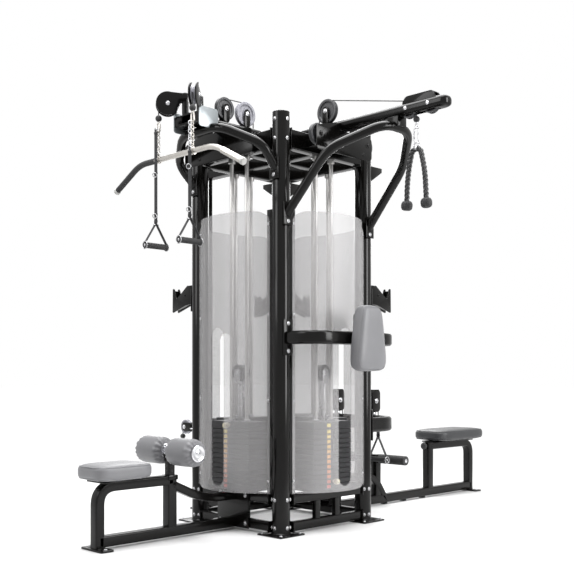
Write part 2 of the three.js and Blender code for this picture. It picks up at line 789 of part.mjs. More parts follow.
function stackLift(resting) {
  const moving = stack.count - resting;
  const low = stack.floor + resting * stack.pitch;
  const bores = mirroredPair((side) => {
    return rodLine(side * stack.rod_at, stack.rod_radius + fit.slide, stack.floor, yoke.axle);
  });
  const ys = [-stack.centre - stack.depth / 2, -stack.centre + stack.depth / 2];
  const head_low = moving > 0 ? stack.head_low - stack.groove : stack.head_low;
  const head = block([-stack.width / 2, stack.width / 2], ys, [head_low, stack.head_top]);
  const lifted = moving > 0 ? [plates(low, moving, [])] : [];
  const stem = rodLine(0, stack.stem_radius, stack.floor + stack.stem_clear, yoke.axle - yoke.pulley_radius);
  const inner = yoke.pulley_width / 2;
  const crest = yoke.axle + yoke.cheek_width / 2;
  const foot = yoke.axle - yoke.pulley_radius - yoke.bridge;
  const half_width = yoke.cheek_width / 2;
  const cheeks = mirroredPair((side) => {
    const reach = [inner + fit.slide, inner + fit.slide + yoke.cheek_thick];
    const y_range = reach.map((y) => side * y - stack.centre).sort((a, b) => a - b);
    return beam('y', [-half_width, half_width], y_range, [foot, crest], half_width / 2);
  });
  const width = inner + yoke.cheek_thick;
  const bridge_y = [-stack.centre - width, -stack.centre + width];
  const bridge = block([-half_width, half_width], bridge_y, [foot, foot + yoke.bridge - fit.slide]);
  const wheel = pulley(yoke.pulley_radius, yoke.pulley_width, [0, -stack.centre, yoke.axle],
    [0, 0, yoke.axle]);
  const axle = rod(sheave.axle, [0, -stack.centre - width, yoke.axle], [0, width - stack.centre, yoke.axle]);
  const whole = join(head, ...lifted, stem, bridge, cheeks, wheel, axle);
  const socket = pinLine(pin.radius + fit.slide, pin.inner - fit.slide, shroud.apex, pinHeight(resting));
  return cut(whole, bores, [socket]);
}

function pinHeight(resting) {
  if (resting === stack.count) {
    return stack.head_low + stack.head / 2;
  }
  return stack.floor + resting * stack.pitch + (stack.pitch - stack.groove) / 2;
}

function pinLine(radius, inner, outer, z) {
  return rod(radius, [0, -inner, z], [0, -outer, z]);
}

function pinSolid(resting) {
  const z = pinHeight(resting);
  const shaft = pin.knob_at - pin.inner;
  return turned([
    [0, 0], [pin.radius, 0], [pin.radius, shaft - pin.collar_length], [pin.collar, shaft],
    [pin.knob_radius, shaft + pin.knob_length * pin.knob_shoulder_share],
    [pin.knob_radius, shaft + pin.knob_length * (1 - pin.knob_shoulder_share)],
    [pin.collar, shaft + pin.knob_length], [0, shaft + pin.knob_length],
  ], [0, -pin.inner, z], [0, -pin.inner - shaft, z], 12);
}

const resting_plates = { pulldown: 12, pushdown: 1, row: 8, column: 6 };
Object.entries(resting_plates).forEach(([side, resting]) => {
  piece(`shroud_${side}`, shroudSolid(), 'frosted', sides[side]);
  piece(`stack_base_${side}`, stackBase(resting), 'dark', sides[side]);
  piece(`stack_lift_${side}`, stackLift(resting), 'dark', sides[side]);
  piece(`selector_pin_${side}`, pinSolid(resting), 'cream', sides[side]);
});

// Top frame: four beams between the posts and a cross that joins their middles

function topFrame() {
  const end = rail_end - crown.flange_thick / 2;
  const lip = crown.flange_lip;
  const ys = [-crown.outer, -crown.inner];
  const one_side = () => {
    const flanges = mirroredPair((side) => {
      const xs = [rail_end - crown.flange_thick, rail_end].map((x) => side * x).sort((a, b) => a - b);
      return block(xs, ys, [crown.low - lip, crown.high + lip]);
    });
    return join(beam('x', [-end, end], ys, [crown.low, crown.high], crown.edge), flanges);
  };
  const cross_z = [crown.low + crown.cross_inset, crown.high - crown.cross_inset];
  const reach = crown.inner + fit.weld;
  const width = [-crown.cross_half, crown.cross_half];
  const ring = [0, 1, 2, 3].map((turn) => one_side().rotate([0, 0, 90 * turn]));
  const cross = [
    beam('x', [-reach, reach], width, cross_z, crown.edge),
    beam('y', width, [-reach, reach], cross_z, crown.edge),
  ];
  return join(ring, cross);
}
piece('top_frame', topFrame(), 'black');

// Overhead parts

const cheek_inner = sheave.width / 2 + cheek.gap;

// Two cheeks and an axle that hold a pulley above a beam
function cheeksFor(out, axle_z, foot_z, crest = cheek.crest) {
  const ys = [-out - cheek.width / 2, -out + cheek.width / 2];
  const plates_ = mirroredPair((side) => {
    const xs = [cheek_inner, cheek_inner + cheek.thick].map((x) => side * x).sort((a, b) => a - b);
    return beam('x', xs, ys, [foot_z - fit.weld, axle_z + crest], cheek.width / 3);
  });
  const reach = cheek_inner + cheek.thick;
  return [...plates_, rod(sheave.axle, [-reach, -out, axle_z], [reach, -out, axle_z])];
}

// The hole through a boom for the cable that rises on the near side of its first pulley
function cableHole(pulley_out) {
  const y = ride(pulldown.top_radius) - pulley_out;
  return rod(cable.hole, [0, y, crown.high - fit.overrun], [0, y, boom.high + fit.overrun]);
}

function saddle(out_range) {
  const ys = [-out_range[1], -out_range[0]];
  return block([-boom.half_width, boom.half_width], ys, [crown.high + fit.gap, boom.low + fit.weld]);
}

// A bent tube from post to post, its ends cut to the round of the posts
function arch(points, bend) {
  const mirrored = points.map(([x, y, z]) => [-x, y, z]).reverse();
  const tube = pipe([...points, ...mirrored], bend, pulldown.arch_radius, 10);
  const copes = mirroredPair((side) => {
    const [x, y] = [side * half, -half];
    return rod(post.radius + fit.gap, [x, y, 0], [x, y, post.height], post.sides);
  });
  return cut(tube, copes);
}

function archFeet(z) {
  return mirroredPair((side) => {
    const middle = side * half;
    const xs = [middle - foot_plate.width / 2, middle + foot_plate.width / 2];
    const ys = [-post_face - foot_plate.thick, -post_face];
    return block(xs, ys, [z - foot_plate.height / 2, z + foot_plate.height / 2]);
  });
}

const splay = Math.atan2(pulldown.drop_x - pulldown.pivot_x, pulldown.drop_out - pulldown.pivot_out);
const drop_reach = Math.hypot(pulldown.drop_x - pulldown.pivot_x, pulldown.drop_out - pulldown.pivot_out);
const wheel_reach = drop_reach - leave(pulldown.pulley_radius);

// The yoke of a pulldown pulley, drawn on the tower's middle line and turned about its own barrel
function swivelYoke() {
  const arm_low = boom.high - fit.weld;
  const { barrel_radius, neck_low, neck_high, pulley_height } = pulldown;
  const barrel = rod(barrel_radius, [0, 0, arm_low], [0, 0, neck_high - fit.weld], 16);
  const nose = pulldown.pulley_radius + pulldown.cheek_margin;
  const waist = nose * pulldown.waist_share - wheel_reach;
  const crest = pulley_height + nose;
  const outline = new THREE.Shape();
  outline.moveTo(0, neck_low);
  outline.lineTo(0, neck_high);
  outline.lineTo(-wheel_reach, crest);
  outline.quadraticCurveTo(-wheel_reach - nose, crest, -wheel_reach - nose, pulley_height);
  outline.quadraticCurveTo(-wheel_reach - nose, pulley_height - nose, -wheel_reach, pulley_height - nose);
  outline.quadraticCurveTo(waist, pulley_height - nose, 0, neck_low);
  const cheeks = mirroredPair((side) => {
    return sheet(outline, 'yz', cheek.thick, { x: side * (cheek_inner + cheek.thick / 2) }, 0, 4);
  });
  const reach = cheek_inner + cheek.thick;
  const axle_ends = [-reach, reach].map((x) => [x, -wheel_reach, pulley_height]);
  const axle = rod(sheave.axle, axle_ends[0], axle_ends[1]);
  const bridge = block([-reach, reach], [-barrel_radius, barrel_radius / 2], [neck_low, neck_high]);
  return join(barrel, cheeks, axle, bridge);
}

function swivelPlace(solid, side) {
  const turn = (side * splay * 180) / Math.PI;
  return moved(solid.rotate([0, 0, turn]), side * pulldown.pivot_x, -pulldown.pivot_out, 0);
}

function pulldownOverhead() {
  const spine = beam('y', [-boom.half_width, boom.half_width], [-pulldown.reach, -boom.root],
    [boom.low, boom.high], boom.round);
  const head_y = [-pulldown.reach, -pulldown.reach + pulldown.head_depth];
  const head_x = [-pulldown.head_half, pulldown.head_half];
  const head = beam('x', head_x, head_y, [boom.low, boom.high], boom.round);
  const tube = arch([
    [half, -post_face - fit.weld, pulldown.arch_foot_z],
    [pulldown.arch_knee_x, -pulldown.arch_knee_out, pulldown.arch_knee_z],
    [pulldown.arch_half, -pulldown.arch_out, pulldown.arch_top],
  ], pulldown.arch_bend);
  const second = pulley(pulldown.second_radius, sheave.width,
    [0, -pulldown.second_pulley, pulldown.axle_height], [1, -pulldown.second_pulley, pulldown.axle_height]);
  return join(
    cut(spine, [cableHole(pulldown.top_pulley)]), head, saddle([crown.inner, crown.outer]), tube,
    archFeet(pulldown.arch_foot_z),
    cheeksFor(pulldown.top_pulley, pulldown.axle_height, boom.high),
    cheeksFor(pulldown.second_pulley, pulldown.axle_height, boom.high), second,
    mirroredPair((side) => swivelPlace(swivelYoke(), side)));
}
piece('pulldown_overhead', pulldownOverhead(), 'black', sides.pulldown);

function spinning(radius, out, z) {
  return pulley(radius, sheave.width, [0, -out, z], [1, -out, z], sheave.axle + fit.gap);
}

['left', 'right'].forEach((name, i) => {
  const wheel = spinning(pulldown.pulley_radius, wheel_reach, pulldown.pulley_height);
  piece(`pulldown_pulley_${name}`, swivelPlace(wheel, [-1, 1][i]), 'pale', sides.pulldown);
});
const top_wheels = { pulldown: pulldown.top_pulley, pushdown: push.top_pulley };
Object.entries(top_wheels).forEach(([side, out]) => {
  const wheel = spinning(pulldown.top_radius, out, pulldown.axle_height);
  piece(`top_pulley_${side}`, wheel, side === 'pulldown' ? 'pale' : 'nylon', sides[side]);
});

function pushdownOverhead() {
  const spine = beam('y', [-boom.half_width, boom.half_width], [-push.reach, -boom.root],
    [boom.low, boom.high], boom.round);
  const guard = beam('y', [-push.guard_half, push.guard_half], [-push.guard_outer, -push.guard_inner],
    [boom.high - boom.round, push.guard_top], push.guard_roof / 2);
  const slot_half = cheek_inner;
  const reach = push.pulley_radius + push.slot_clear;
  const roof = push.guard_top - push.guard_roof;
  const slots = [push.inner_pulley, push.outer_pulley].map((out) => {
    return block([-slot_half, slot_half], [-out - reach, -out + reach], [boom.low - fit.overrun, roof]);
  });
  const mouth = block([-cable.radius * 2, cable.radius * 2],
    [-push.inner_pulley, fit.overrun - push.guard_inner],
    [push.pulley_height + push.pulley_radius / 2, roof]);
  const tube = arch([
    [half, -post_face - fit.weld, push.arch_foot_z],
    [push.arch_knee_x, -push.arch_knee_out, push.arch_knee_z],
    [push.arch_half, -push.arch_out, push.arch_top],
  ], push.arch_bend);
  const block_y = [-push.arch_out - push.saddle_half, -push.arch_out + push.saddle_half];
  const clamp = block([-push.saddle_half, push.saddle_half], block_y,
    [push.arch_top, boom.low + fit.weld]);
  const axles = [push.inner_pulley, push.outer_pulley].map((out) => {
    return rod(sheave.axle, [-boom.half_width + fit.weld, -out, push.pulley_height],
      [boom.half_width - fit.weld, -out, push.pulley_height]);
  });
  return join(
    cut(join(spine, guard, saddle([crown.inner, crown.outer])), slots, [mouth, cableHole(push.top_pulley)]),
    axles, clamp, tube, archFeet(push.arch_foot_z),
    cheeksFor(push.top_pulley, pulldown.axle_height, boom.high));
}
piece('pushdown_overhead', pushdownOverhead(), 'black', sides.pushdown);
piece('boom_pulley_inner', spinning(push.pulley_radius, push.inner_pulley, push.pulley_height),
  'nylon', sides.pushdown);
piece('boom_pulley_outer', spinning(push.pulley_radius, push.outer_pulley, push.pulley_height),
  'nylon', sides.pushdown);

// Cables that the overhead parts hold: from the top frame over the pulleys

const cable_floor = crown.high - crown.cross_inset + fit.gap;

// A cable that comes up from the top frame, passes over two pulleys and goes down again. Each pulley
// is given by how far out and how high its axle is, and by the radius that the cable rides on
function cableOver(first, second, end_z) {
  const run = second.out - first.out;
  const fall = first.z - second.z;
  const slope = Math.atan2(fall, run) + Math.asin((first.ride - second.ride) / Math.hypot(run, fall));
  const bends = [
    first.ride * Math.tan(Math.PI / 4 + slope / 2),
    second.ride * Math.tan(Math.PI / 4 - slope / 2),
  ];
  const inner = first.ride - first.out;
  const outer = -second.out - second.ride;
  return pipe([
    [0, inner, cable_floor], [0, inner, first.z + bends[0]],
    [0, outer, second.z + bends[1]], [0, outer, end_z],
  ], bends, cable.radius, cable.sides);
}

function pulldownCable() {
  const level = pulldown.axle_height;
  return cableOver(
    { out: pulldown.top_pulley, z: level, ride: ride(pulldown.top_radius) },
    { out: pulldown.second_pulley, z: level, ride: ride(pulldown.second_radius) },
    boom.high + fit.gap);
}

function pushdownCable() {
  return cableOver(
    { out: push.top_pulley, z: pulldown.axle_height, ride: ride(pulldown.top_radius) },
    { out: push.inner_pulley, z: push.pulley_height, ride: ride(push.pulley_radius) },
    push.cable_end);
}
piece('cable_pulldown', pulldownCable(), 'rubber', sides.pulldown);
piece('cable_pushdown', pushdownCable(), 'rubber', sides.pushdown);

// Fascias with the pulleys behind their ends

function fasciaSolid(low, half_width) {
  const { end_height, rise, corner, thick, out } = fascia;
  const shoulder = rise * fascia.shoulder_share;
  const crown_half = half_width * fascia.crown_share;
  const high = low + end_height;
  const shape = new THREE.Shape();
  shape.moveTo(-half_width, low + corner);
  shape.quadraticCurveTo(-half_width, low, corner - half_width, low);
  shape.lineTo(half_width - corner, low);
  shape.quadraticCurveTo(half_width, low, half_width, low + corner);
  shape.lineTo(half_width, high - corner);
  shape.quadraticCurveTo(half_width, high, half_width - corner, high + shoulder);
  shape.quadraticCurveTo(crown_half, high + rise, 0, high + rise);
  shape.quadraticCurveTo(-crown_half, high + rise, corner - half_width, high + shoulder);
  shape.quadraticCurveTo(-half_width, high, -half_width, high - corner);
  const plate = sheet(shape, 'xz', thick, { y: -out }, 0, 5);
  const notch = block([-boom.half_width - fit.slide, boom.half_width + fit.slide],
    [-out - fit.overrun, -out + fit.overrun], [boom.low - fit.gap, high + rise + fit.overrun]);
  const arms = mirroredPair((side) => {
    const middle = side * fascia.arm_x;
    const zs = [fascia.arm_low_share, fascia.arm_high_share].map((share) => low + share * end_height);
    const ys = [-out, -crown.outer - fit.gap];
    return beam('y', [middle - fascia.arm_half, middle + fascia.arm_half], ys, zs, thick);
  });
  const wheels = mirroredPair((side) => {
    const back = -out + fascia.wheel_back + fascia.wheel_width / 2;
    const [x, z] = [side * fascia.wheel_x, low + fascia.wheel_z];
    const wheel = pulley(fascia.wheel_radius, fascia.wheel_width, [x, back, z], [x, 0, z]);
    return [wheel, rod(sheave.axle, [x, -out, z], [x, back, z])];
  });
  return join(cut(plate, [notch]), arms, wheels.flat());
}
piece('fascia_pulldown', fasciaSolid(fascia.pulldown_low, fascia.pulldown_half), 'black', sides.pulldown);
piece('fascia_pushdown', fasciaSolid(fascia.push_low, fascia.push_half), 'black', sides.pushdown);

// Pulldown bar with its two chains, and the handles that hang beside them

// The handles hang in front of the bar, each on a boss of the hook above it
const handle_out = pulldown.drop_out + bar.radius + handle.strap_thick;

function barSolid() {
  const y = -pulldown.drop_out;
  const boss_end = fit.gap + handle.strap_thick / 2 - handle_out;
  const tube = pipe([
    [-bar.end_x, y, bar.end_z], [-bar.bend_x, y, bar.middle_z],
    [bar.bend_x, y, bar.middle_z], [bar.end_x, y, bar.end_z],
  ], bar.bend, bar.radius, 10);
  const slope = Math.atan2(bar.middle_z - bar.end_z, bar.end_x - bar.bend_x);
  const grips = mirroredPair((side) => {
    const at = (share) => [
      side * (bar.bend_x + share * (bar.end_x - bar.bend_x)), y,
      bar.middle_z + share * (bar.end_z - bar.middle_z)];
    return rod(bar.grip_radius, at(bar.grip_start_share), at(1), 10);
  });
  const caps = mirroredPair((side) => {
    const along = [side * Math.cos(slope), -Math.sin(slope)];
    const at = (reach) => [side * bar.end_x + along[0] * reach, y, bar.end_z + along[1] * reach];
    return rod(bar.cap_radius, at(-fit.weld), at(bar.cap_length), 10);
  });
  const chains = mirroredPair((side) => {
    const x = side * pulldown.drop_x;
    const hook_shape = roundedRectangle([x - link.hook_half, x + link.hook_half],
      [link.hook_low, link.hook_high], link.hook_half);
    return [
      rod(link.chain_radius, [x, y, bar.middle_z], [x, y, link.hook_low + fit.weld], 8),
      sheet(hook_shape, 'xz', link.hook_thick, { y }),
      rod(link.chain_radius, [x, y, link.hook_high - fit.weld], [x, y, link.stop_z], 8),
      ball(link.stop_radius, [x, y, link.stop_z]),
      rod(link.boss_radius, [x, y, link.boss_z], [x, boss_end, link.boss_z]),
    ];
  });
  return join(tube, grips, caps, chains.flat());
}
piece('pulldown_bar', barSolid(), 'chrome', sides.pulldown);

function dropSolid(x, out, low, high) {
  return rod(cable.radius, [x, -out, low], [x, -out, high], cable.sides);
}

['left', 'right'].forEach((name, i) => {
  const x = [-1, 1][i] * pulldown.drop_x;
  const low = link.stop_z + link.stop_radius + fit.gap;
  piece(`cable_drop_${name}`, dropSolid(x, pulldown.drop_out, low, pulldown.pulley_height), 'rubber',
    sides.pulldown);
});

// A stirrup handle: strap, two slanted sides and a grip between two cups. The part below the strap
// can hang turned
function stirrup(strap_low, strap_top, grip_z, turn = 0) {
  const half_strap = handle.strap_half;
  const strap = beam('z', [-half_strap, half_strap], [-handle.strap_thick / 2, handle.strap_thick / 2],
    [strap_low - fit.weld, strap_top], handle.strap_thick / 3);
  const ring = rod(handle.ring / 2, [-handle.ring, 0, strap_low], [handle.ring, 0, strap_low], 8);
  const half_grip = handle.grip_half;
  const sides_ = mirroredPair((side) => {
    return rod(handle.side_radius, [side * half_strap / 2, 0, strap_low],
      [side * (half_grip + handle.cup_length / 2), 0, grip_z], 8);
  });
  const grip = rod(handle.grip_radius, [-half_grip, 0, grip_z], [half_grip, 0, grip_z], 10);
  const cups = mirroredPair((side) => {
    return rod(handle.cup_radius, [side * half_grip, 0, grip_z],
      [side * (half_grip + handle.cup_length), 0, grip_z], 12);
  });
  return join(strap, join(ring, sides_, grip, cups).rotate([0, 0, turn]));
}

['left', 'right'].forEach((name, i) => {
  const solid = stirrup(handle.strap_low, handle.strap_top, handle.grip_z, handle.turn);
  piece(`pulldown_handle_${name}`, moved(solid, [-1, 1][i] * pulldown.drop_x, -handle_out, 0), 'rubber',
    sides.pulldown);
});

// Rope for the pushdown boom

const rope = { stop_radius: 16, stop_drop: 34, hook_drop: 34, hook_height: 85, hook_half: 17 };
rope.hook_thick = 9;
rope.stop_z = push.cable_end - rope.stop_drop;
rope.hook_high = rope.stop_z - rope.hook_drop;
rope.hook_low = rope.hook_high - rope.hook_height;
rope.clamp_drop = 35;
rope.clamp_z = rope.hook_low - rope.clamp_drop;
rope.clamp_half = 22;
rope.leg_radius = 13.5;
rope.leg_length = 268;
rope.leg_low = rope.clamp_z - rope.leg_length;
rope.leg_spread = 60;
rope.ball_radius = 23;
rope.out = push.inner_pulley + ride(push.pulley_radius);

function ropeSolid() {
  const y = -rope.out;
  const hook_shape = roundedRectangle([y - rope.hook_half, y + rope.hook_half],
    [rope.hook_low, rope.hook_high], rope.hook_half);
  const eye = roundedRectangle([y - rope.hook_half / 2, y + rope.hook_half / 2],
    [rope.hook_low + rope.hook_half, rope.hook_high - rope.hook_half], rope.hook_half / 3);
  hook_shape.holes.push(eye);
  const neck = rod(link.chain_radius, [0, y, rope.hook_high - fit.weld], [0, y, rope.stop_z], 8);
  const legs = mirroredPair((side) => pipe([
    [0, y + side * rope.leg_radius, rope.clamp_z + rope.clamp_half],
    [0, y + side * rope.leg_radius, rope.clamp_z - rope.clamp_half],
    [0, y + side * rope.leg_spread, rope.leg_low],
  ], rope.leg_spread, rope.leg_radius, 10));
  const balls = mirroredPair((side) => ball(rope.ball_radius, [0, y + side * rope.leg_spread, rope.leg_low]));
  const clamp_half_y = rope.leg_radius * 2 + fit.weld;
  const clamp = beam('z', [-rope.leg_radius - fit.weld, rope.leg_radius + fit.weld],
    [y - clamp_half_y, y + clamp_half_y],
    [rope.clamp_z - rope.clamp_half / 2, rope.hook_low + fit.weld], rope.leg_radius / 2);
  return join(sheet(hook_shape, 'yz', rope.hook_thick, {}), neck, ball(rope.stop_radius, [0, y, rope.stop_z]),
    legs, balls, clamp);
}
piece('pushdown_rope', ropeSolid(), 'rubber', sides.pushdown);
piece('cable_drop_pushdown', dropSolid(0, rope.out, rope.stop_z + rope.stop_radius + fit.gap,
  push.cable_end - fit.gap), 'rubber', sides.pushdown);

// Bows: flat oval tubes bent round from post to post

function bowSolid(out, low, high, width, bend, bevel, plate_low, plate_high) {
  const foot = -post_face - fit.weld;
  const shape = ribbon([[-half, foot], [-half, -out], [half, -out], [half, foot]], bend, width);
  const tube = sheet(shape, 'xy', high - low, { z: (low + high) / 2 }, bevel);
  const plates_ = mirroredPair((side) => {
    const middle = side * half;
    const xs = [middle - foot_plate.width / 2, middle + foot_plate.width / 2];
    return block(xs, [-post_face - foot_plate.thick, -post_face], [plate_low, plate_high]);
  });
  return join(tube, plates_);
}

function padBow() {
  const face = -pad.out - pad.width / 2;
  const board = beam('y', [-pad.board_half, pad.board_half], [face - pad.board_thick, face + fit.weld],
    [pad.board_low, pad.board_high], pad.bevel);
  const frame = bowSolid(pad.out, pad.low, pad.high, pad.width, pad.bend, pad.bevel, pad.plate_low,
    pad.plate_high);
  return join(frame, board);
}
piece('pad_bow', padBow(), 'black', sides.pushdown);

const pad_face = pad.out + pad.width / 2 + pad.board_thick + fit.gap;
const taper_share = 1 - pad.top_width / pad.bottom_width;
const pad_solid = cushion(pad.bottom_width, pad.height, pad.thick, taper_share).rotate([90, 0, 0]);
piece('back_pad', moved(pad_solid, 0, -pad_face - pad.thick / 2, pad.bottom + pad.height / 2), 'vinyl',
  sides.pushdown);

piece('row_bow', bowSolid(bow.out, bow.low, bow.high, bow.width, bow.bend, bow.bevel, bow.plate_low,
  bow.plate_high), 'black', sides.row);

// Swivel pulleys on the row bow, drawn on the middle line and moved to each side

const swivel_out = bow.out + bow.pulley_shift;
const row_drop_out = swivel_out + leave(bow.pulley_radius);

function rowSwivel() {
  const floor = bow.high + fit.gap;
  const barrel_top = floor + bow.barrel_height;
  const barrel = rod(bow.barrel_radius, [0, -bow.out, floor], [0, -bow.out, barrel_top], 16);
  const reach = cheek_inner + cheek.thick;
  const crest = bow.pulley_z + bow.pulley_radius + cheek.crest;
  const half_width = bow.pulley_radius * bow.cheek_share;
  const ys = [-swivel_out - half_width, -swivel_out + half_width];
  const cheeks = mirroredPair((side) => {
    const xs = [cheek_inner, reach].map((x) => side * x).sort((a, b) => a - b);
    return beam('x', xs, ys, [barrel_top - bow.barrel_radius / 2, crest], half_width / 2);
  });
  const floor_y = [-bow.out - bow.barrel_radius, -bow.out + bow.barrel_radius];
  const bridge = block([-reach, reach], floor_y, [barrel_top - bow.barrel_radius / 2, barrel_top]);
  const roof_y = [ys[0] + half_width / 2, ys[1] - half_width / 2];
  const roof = block([-reach, reach], roof_y, [crest - cheek.thick, crest]);
  const wheel = pulley(bow.pulley_radius, sheave.width, [0, -swivel_out, bow.pulley_z],
    [1, -swivel_out, bow.pulley_z]);
  const axle = rod(sheave.axle, [-reach, -swivel_out, bow.pulley_z], [reach, -swivel_out, bow.pulley_z]);
  return join(barrel, cheeks, bridge, roof, wheel, axle);
}

function rowHandle() {
  const cord = rod(cable.radius, [0, 0, bow.strap_top - fit.weld], [0, 0, bow.pulley_z], cable.sides);
  const stop = ball(link.stop_radius * bow.stop_share, [0, 0, bow.strap_top]);
  return moved(join(stirrup(bow.strap_low, bow.strap_top, bow.grip_z), cord, stop), 0, -row_drop_out, 0);
}

['left', 'right'].forEach((name, i) => {
  const x = [-1, 1][i] * bow.swivel_x;
  piece(`row_swivel_${name}`, moved(rowSwivel(), x, 0, 0), 'chrome', sides.row);
  piece(`row_handle_${name}`, moved(rowHandle(), x, 0, 0), 'rubber', sides.row);
});

// Benches

// How far before a bend, as a share of it, a bent leg starts
const bend_lead = 1.3;

const middle_x = [-bench.tube_half, bench.tube_half];

function towerPlate() {
  const ys = [-ladder.face - fit.gap - bench.plate_thick, -ladder.face - fit.gap];
  return block([-bench.plate_half, bench.plate_half], ys, [bench.rail_low, bench.plate_high]);
}

function sole(out, half_y = bench.foot_half_y) {
  const shape = roundedRectangle([-bench.foot_half_x, bench.foot_half_x], [-out - half_y, half_y - out],
    bench.foot_thick);
  return sheet(shape, 'xy', bench.foot_thick, { z: bench.foot_thick / 2 });
}

function pulldownBench() {
  const plate_out = ladder.face + bench.plate_thick / 2;
  const rail = beam('y', middle_x, [-bench.foot_out, -plate_out], [bench.rail_low, bench.rail_high],
    bench.edge);
  const upright_y = [-bench.upright_out - bench.tube_half, -bench.upright_out + bench.tube_half];
  const upright = beam('z', middle_x, upright_y, [bench.rail_high - fit.weld, bench.upright_top],
    bench.edge);
  const bore_half = bench.post_half + fit.gap;
  const bore_y = [-bench.upright_out - bore_half, -bench.upright_out + bore_half];
  const bore_z = [bench.post_low - fit.slide, bench.upright_top + fit.overrun];
  const bore = block([-bore_half, bore_half], bore_y, bore_z);
  const brace = ribbon([
    [-plate_out, bench.brace_z],
    [-(plate_out + bench.upright_out) / 2, bench.brace_z],
    [-bench.upright_out, bench.upright_top - bench.brace_width],
  ], bench.brace_bend, bench.brace_width);
  const top = beam('y', middle_x, [-bench.foot_out + bench.leg_bend / 2, -bench.upright_out],
    [bench.top_low, bench.top_high], bench.edge);
  const leg = ribbon([
    [-bench.foot_out + bend_lead * bench.leg_bend, (bench.top_low + bench.top_high) / 2],
    [-bench.foot_out, (bench.top_low + bench.top_high) / 2],
    [-bench.foot_out, bench.foot_thick / 2],
  ], bench.leg_bend, bench.leg_width);
  const seat_plate_y = [-seat.out - seat.depth / 3, -seat.out + seat.depth / 3];
  const seat_plate = block([-seat.width / 3, seat.width / 3], seat_plate_y,
    [bench.top_high - fit.weld, bench.top_high + bench.seat_plate]);
  const frame = join(
    towerPlate(), rail, upright, sheet(brace, 'yz', 2 * bench.tube_half, {}), top,
    sheet(leg, 'yz', 2 * bench.tube_half, {}), sole(bench.foot_out), seat_plate);
  return cut(frame, [bore]);
}
piece('pulldown_bench', pulldownBench(), 'black', sides.pulldown);

const seat_floor = bench.top_high + bench.seat_plate + fit.gap;
piece('pulldown_seat', moved(cushion(seat.width, seat.depth, seat.thick), 0, -seat.out,
  seat_floor + seat.thick / 2), 'vinyl', sides.pulldown);

function rollerUpright() {
  const xs = [-bench.post_half, bench.post_half];
  const ys = [-bench.roller_out - bench.post_half, -bench.roller_out + bench.post_half];
  const shaft = beam('z', xs, ys, [bench.post_low, bench.roller_z + bench.post_half], bench.edge / 2);
  const z = bench.roller_z;
  const disc_length = bench.edge;
  const axle = rod(bench.axle_radius, [-bench.axle_half, -bench.roller_out, z],
    [bench.axle_half, -bench.roller_out, z], 16);
  const discs = mirroredPair((side) => {
    return rod(bench.disc_radius, [side * (bench.axle_half - disc_length), -bench.roller_out, z],
      [side * bench.axle_half, -bench.roller_out, z], 20);
  });
  return join(shaft, axle, discs);
}
piece('roller_upright', rollerUpright(), 'chrome', sides.pulldown);

// A foam roller: a swelled tube whose cover is gathered at both ends
function rollerSolid(radius, length, bore, from, towards) {
  const swell_shares = [
    [0, 0.55], [0.03, 0.8], [0.1, 0.95], [0.3, 1],
    [0.7, 1], [0.9, 0.95], [0.97, 0.8], [1, 0.55],
  ];
  const skin = swell_shares.map(([along, out]) => [radius * out, along * length]);
  return turned([[bore, 0], ...skin, [bore, length], [bore, 0]], from, towards, 16);
}

['left', 'right'].forEach((name, i) => {
  const side = [-1, 1][i];
  const inner = side * (bench.roller_inner + fit.slide);
  const length = bench.roller_outer - bench.roller_inner - fit.slide;
  const solid = rollerSolid(bench.roller_radius, length, bench.axle_radius + fit.gap,
    [inner, -bench.roller_out, bench.roller_z], [inner + side, -bench.roller_out, bench.roller_z]);
  piece(`thigh_roller_${name}`, solid, 'vinyl', sides.pulldown);
});

function rowBench() {
  const plate_out = ladder.face + bench.plate_thick / 2;
  const rail = beam('y', middle_x, [-row.rear, -plate_out], [bench.rail_low, bench.rail_high], bench.edge);
  const front_y = [-row.front_out - bench.tube_half, -row.front_out + bench.tube_half];
  const front_z = [bench.rail_high - fit.weld, row.top_high - fit.weld];
  const front = beam('z', middle_x, front_y, front_z, bench.edge);
  const top = beam('y', middle_x, [row.rear_bend - row.rear, -row.front_out - fit.weld],
    [row.top_low, row.top_high], bench.edge);
  const middle = (row.top_low + row.top_high) / 2;
  const rear_leg = ribbon([
    [bend_lead * row.rear_bend - row.rear, middle], [-row.rear, middle], [-row.rear, bench.foot_thick / 2],
  ], row.rear_bend, bench.leg_width);
  const brace = ribbon([
    [-plate_out, bench.brace_z], [-row.brace_out, row.brace_z], [-row.brace_end, bench.rail_low + bench.edge],
  ], row.brace_bend, bench.brace_width);
  const post_y = [-rest.out - rest.post_half, -rest.out + rest.post_half];
  const head_z = rest.z + rest.head_rise;
  const foot_post = beam('z', [-rest.post_half, rest.post_half], post_y, [bench.rail_high - fit.weld, head_z],
    bench.edge);
  const hub = rod(rest.axle_radius + fit.gap, [-rest.hub_half - fit.overrun, -rest.out, rest.z],
    [rest.hub_half + fit.overrun, -rest.out, rest.z], 16);
  const feet = row.foot_outs.map((out) => {
    const ys = [-out - row.foot_half, row.foot_half - out];
    return block([-row.foot_half, row.foot_half], ys, [0, bench.rail_low + fit.weld]);
  });
  const knob = rod(row.knob_radius, [0, -row.front_out + fit.weld, middle],
    [0, bench.tube_half + row.knob_length - row.front_out, middle], 16);
  const plate_y = [-row.seat_in - row.seat_length + row.rear_bend, -row.seat_in - row.rear_bend / 2];
  const seat_plate = block([-row.seat_width / 3, row.seat_width / 3], plate_y,
    [row.top_high - fit.weld, row.top_high + bench.seat_plate]);
  const frame = join(
    towerPlate(), rail, front, top, sheet(rear_leg, 'yz', 2 * bench.tube_half, {}),
    sheet(brace, 'yz', 2 * bench.tube_half, {}), foot_post, feet, knob, seat_plate,
    sole(row.rear));
  return cut(frame, [hub]);
}
piece('row_bench', rowBench(), 'black', sides.row);

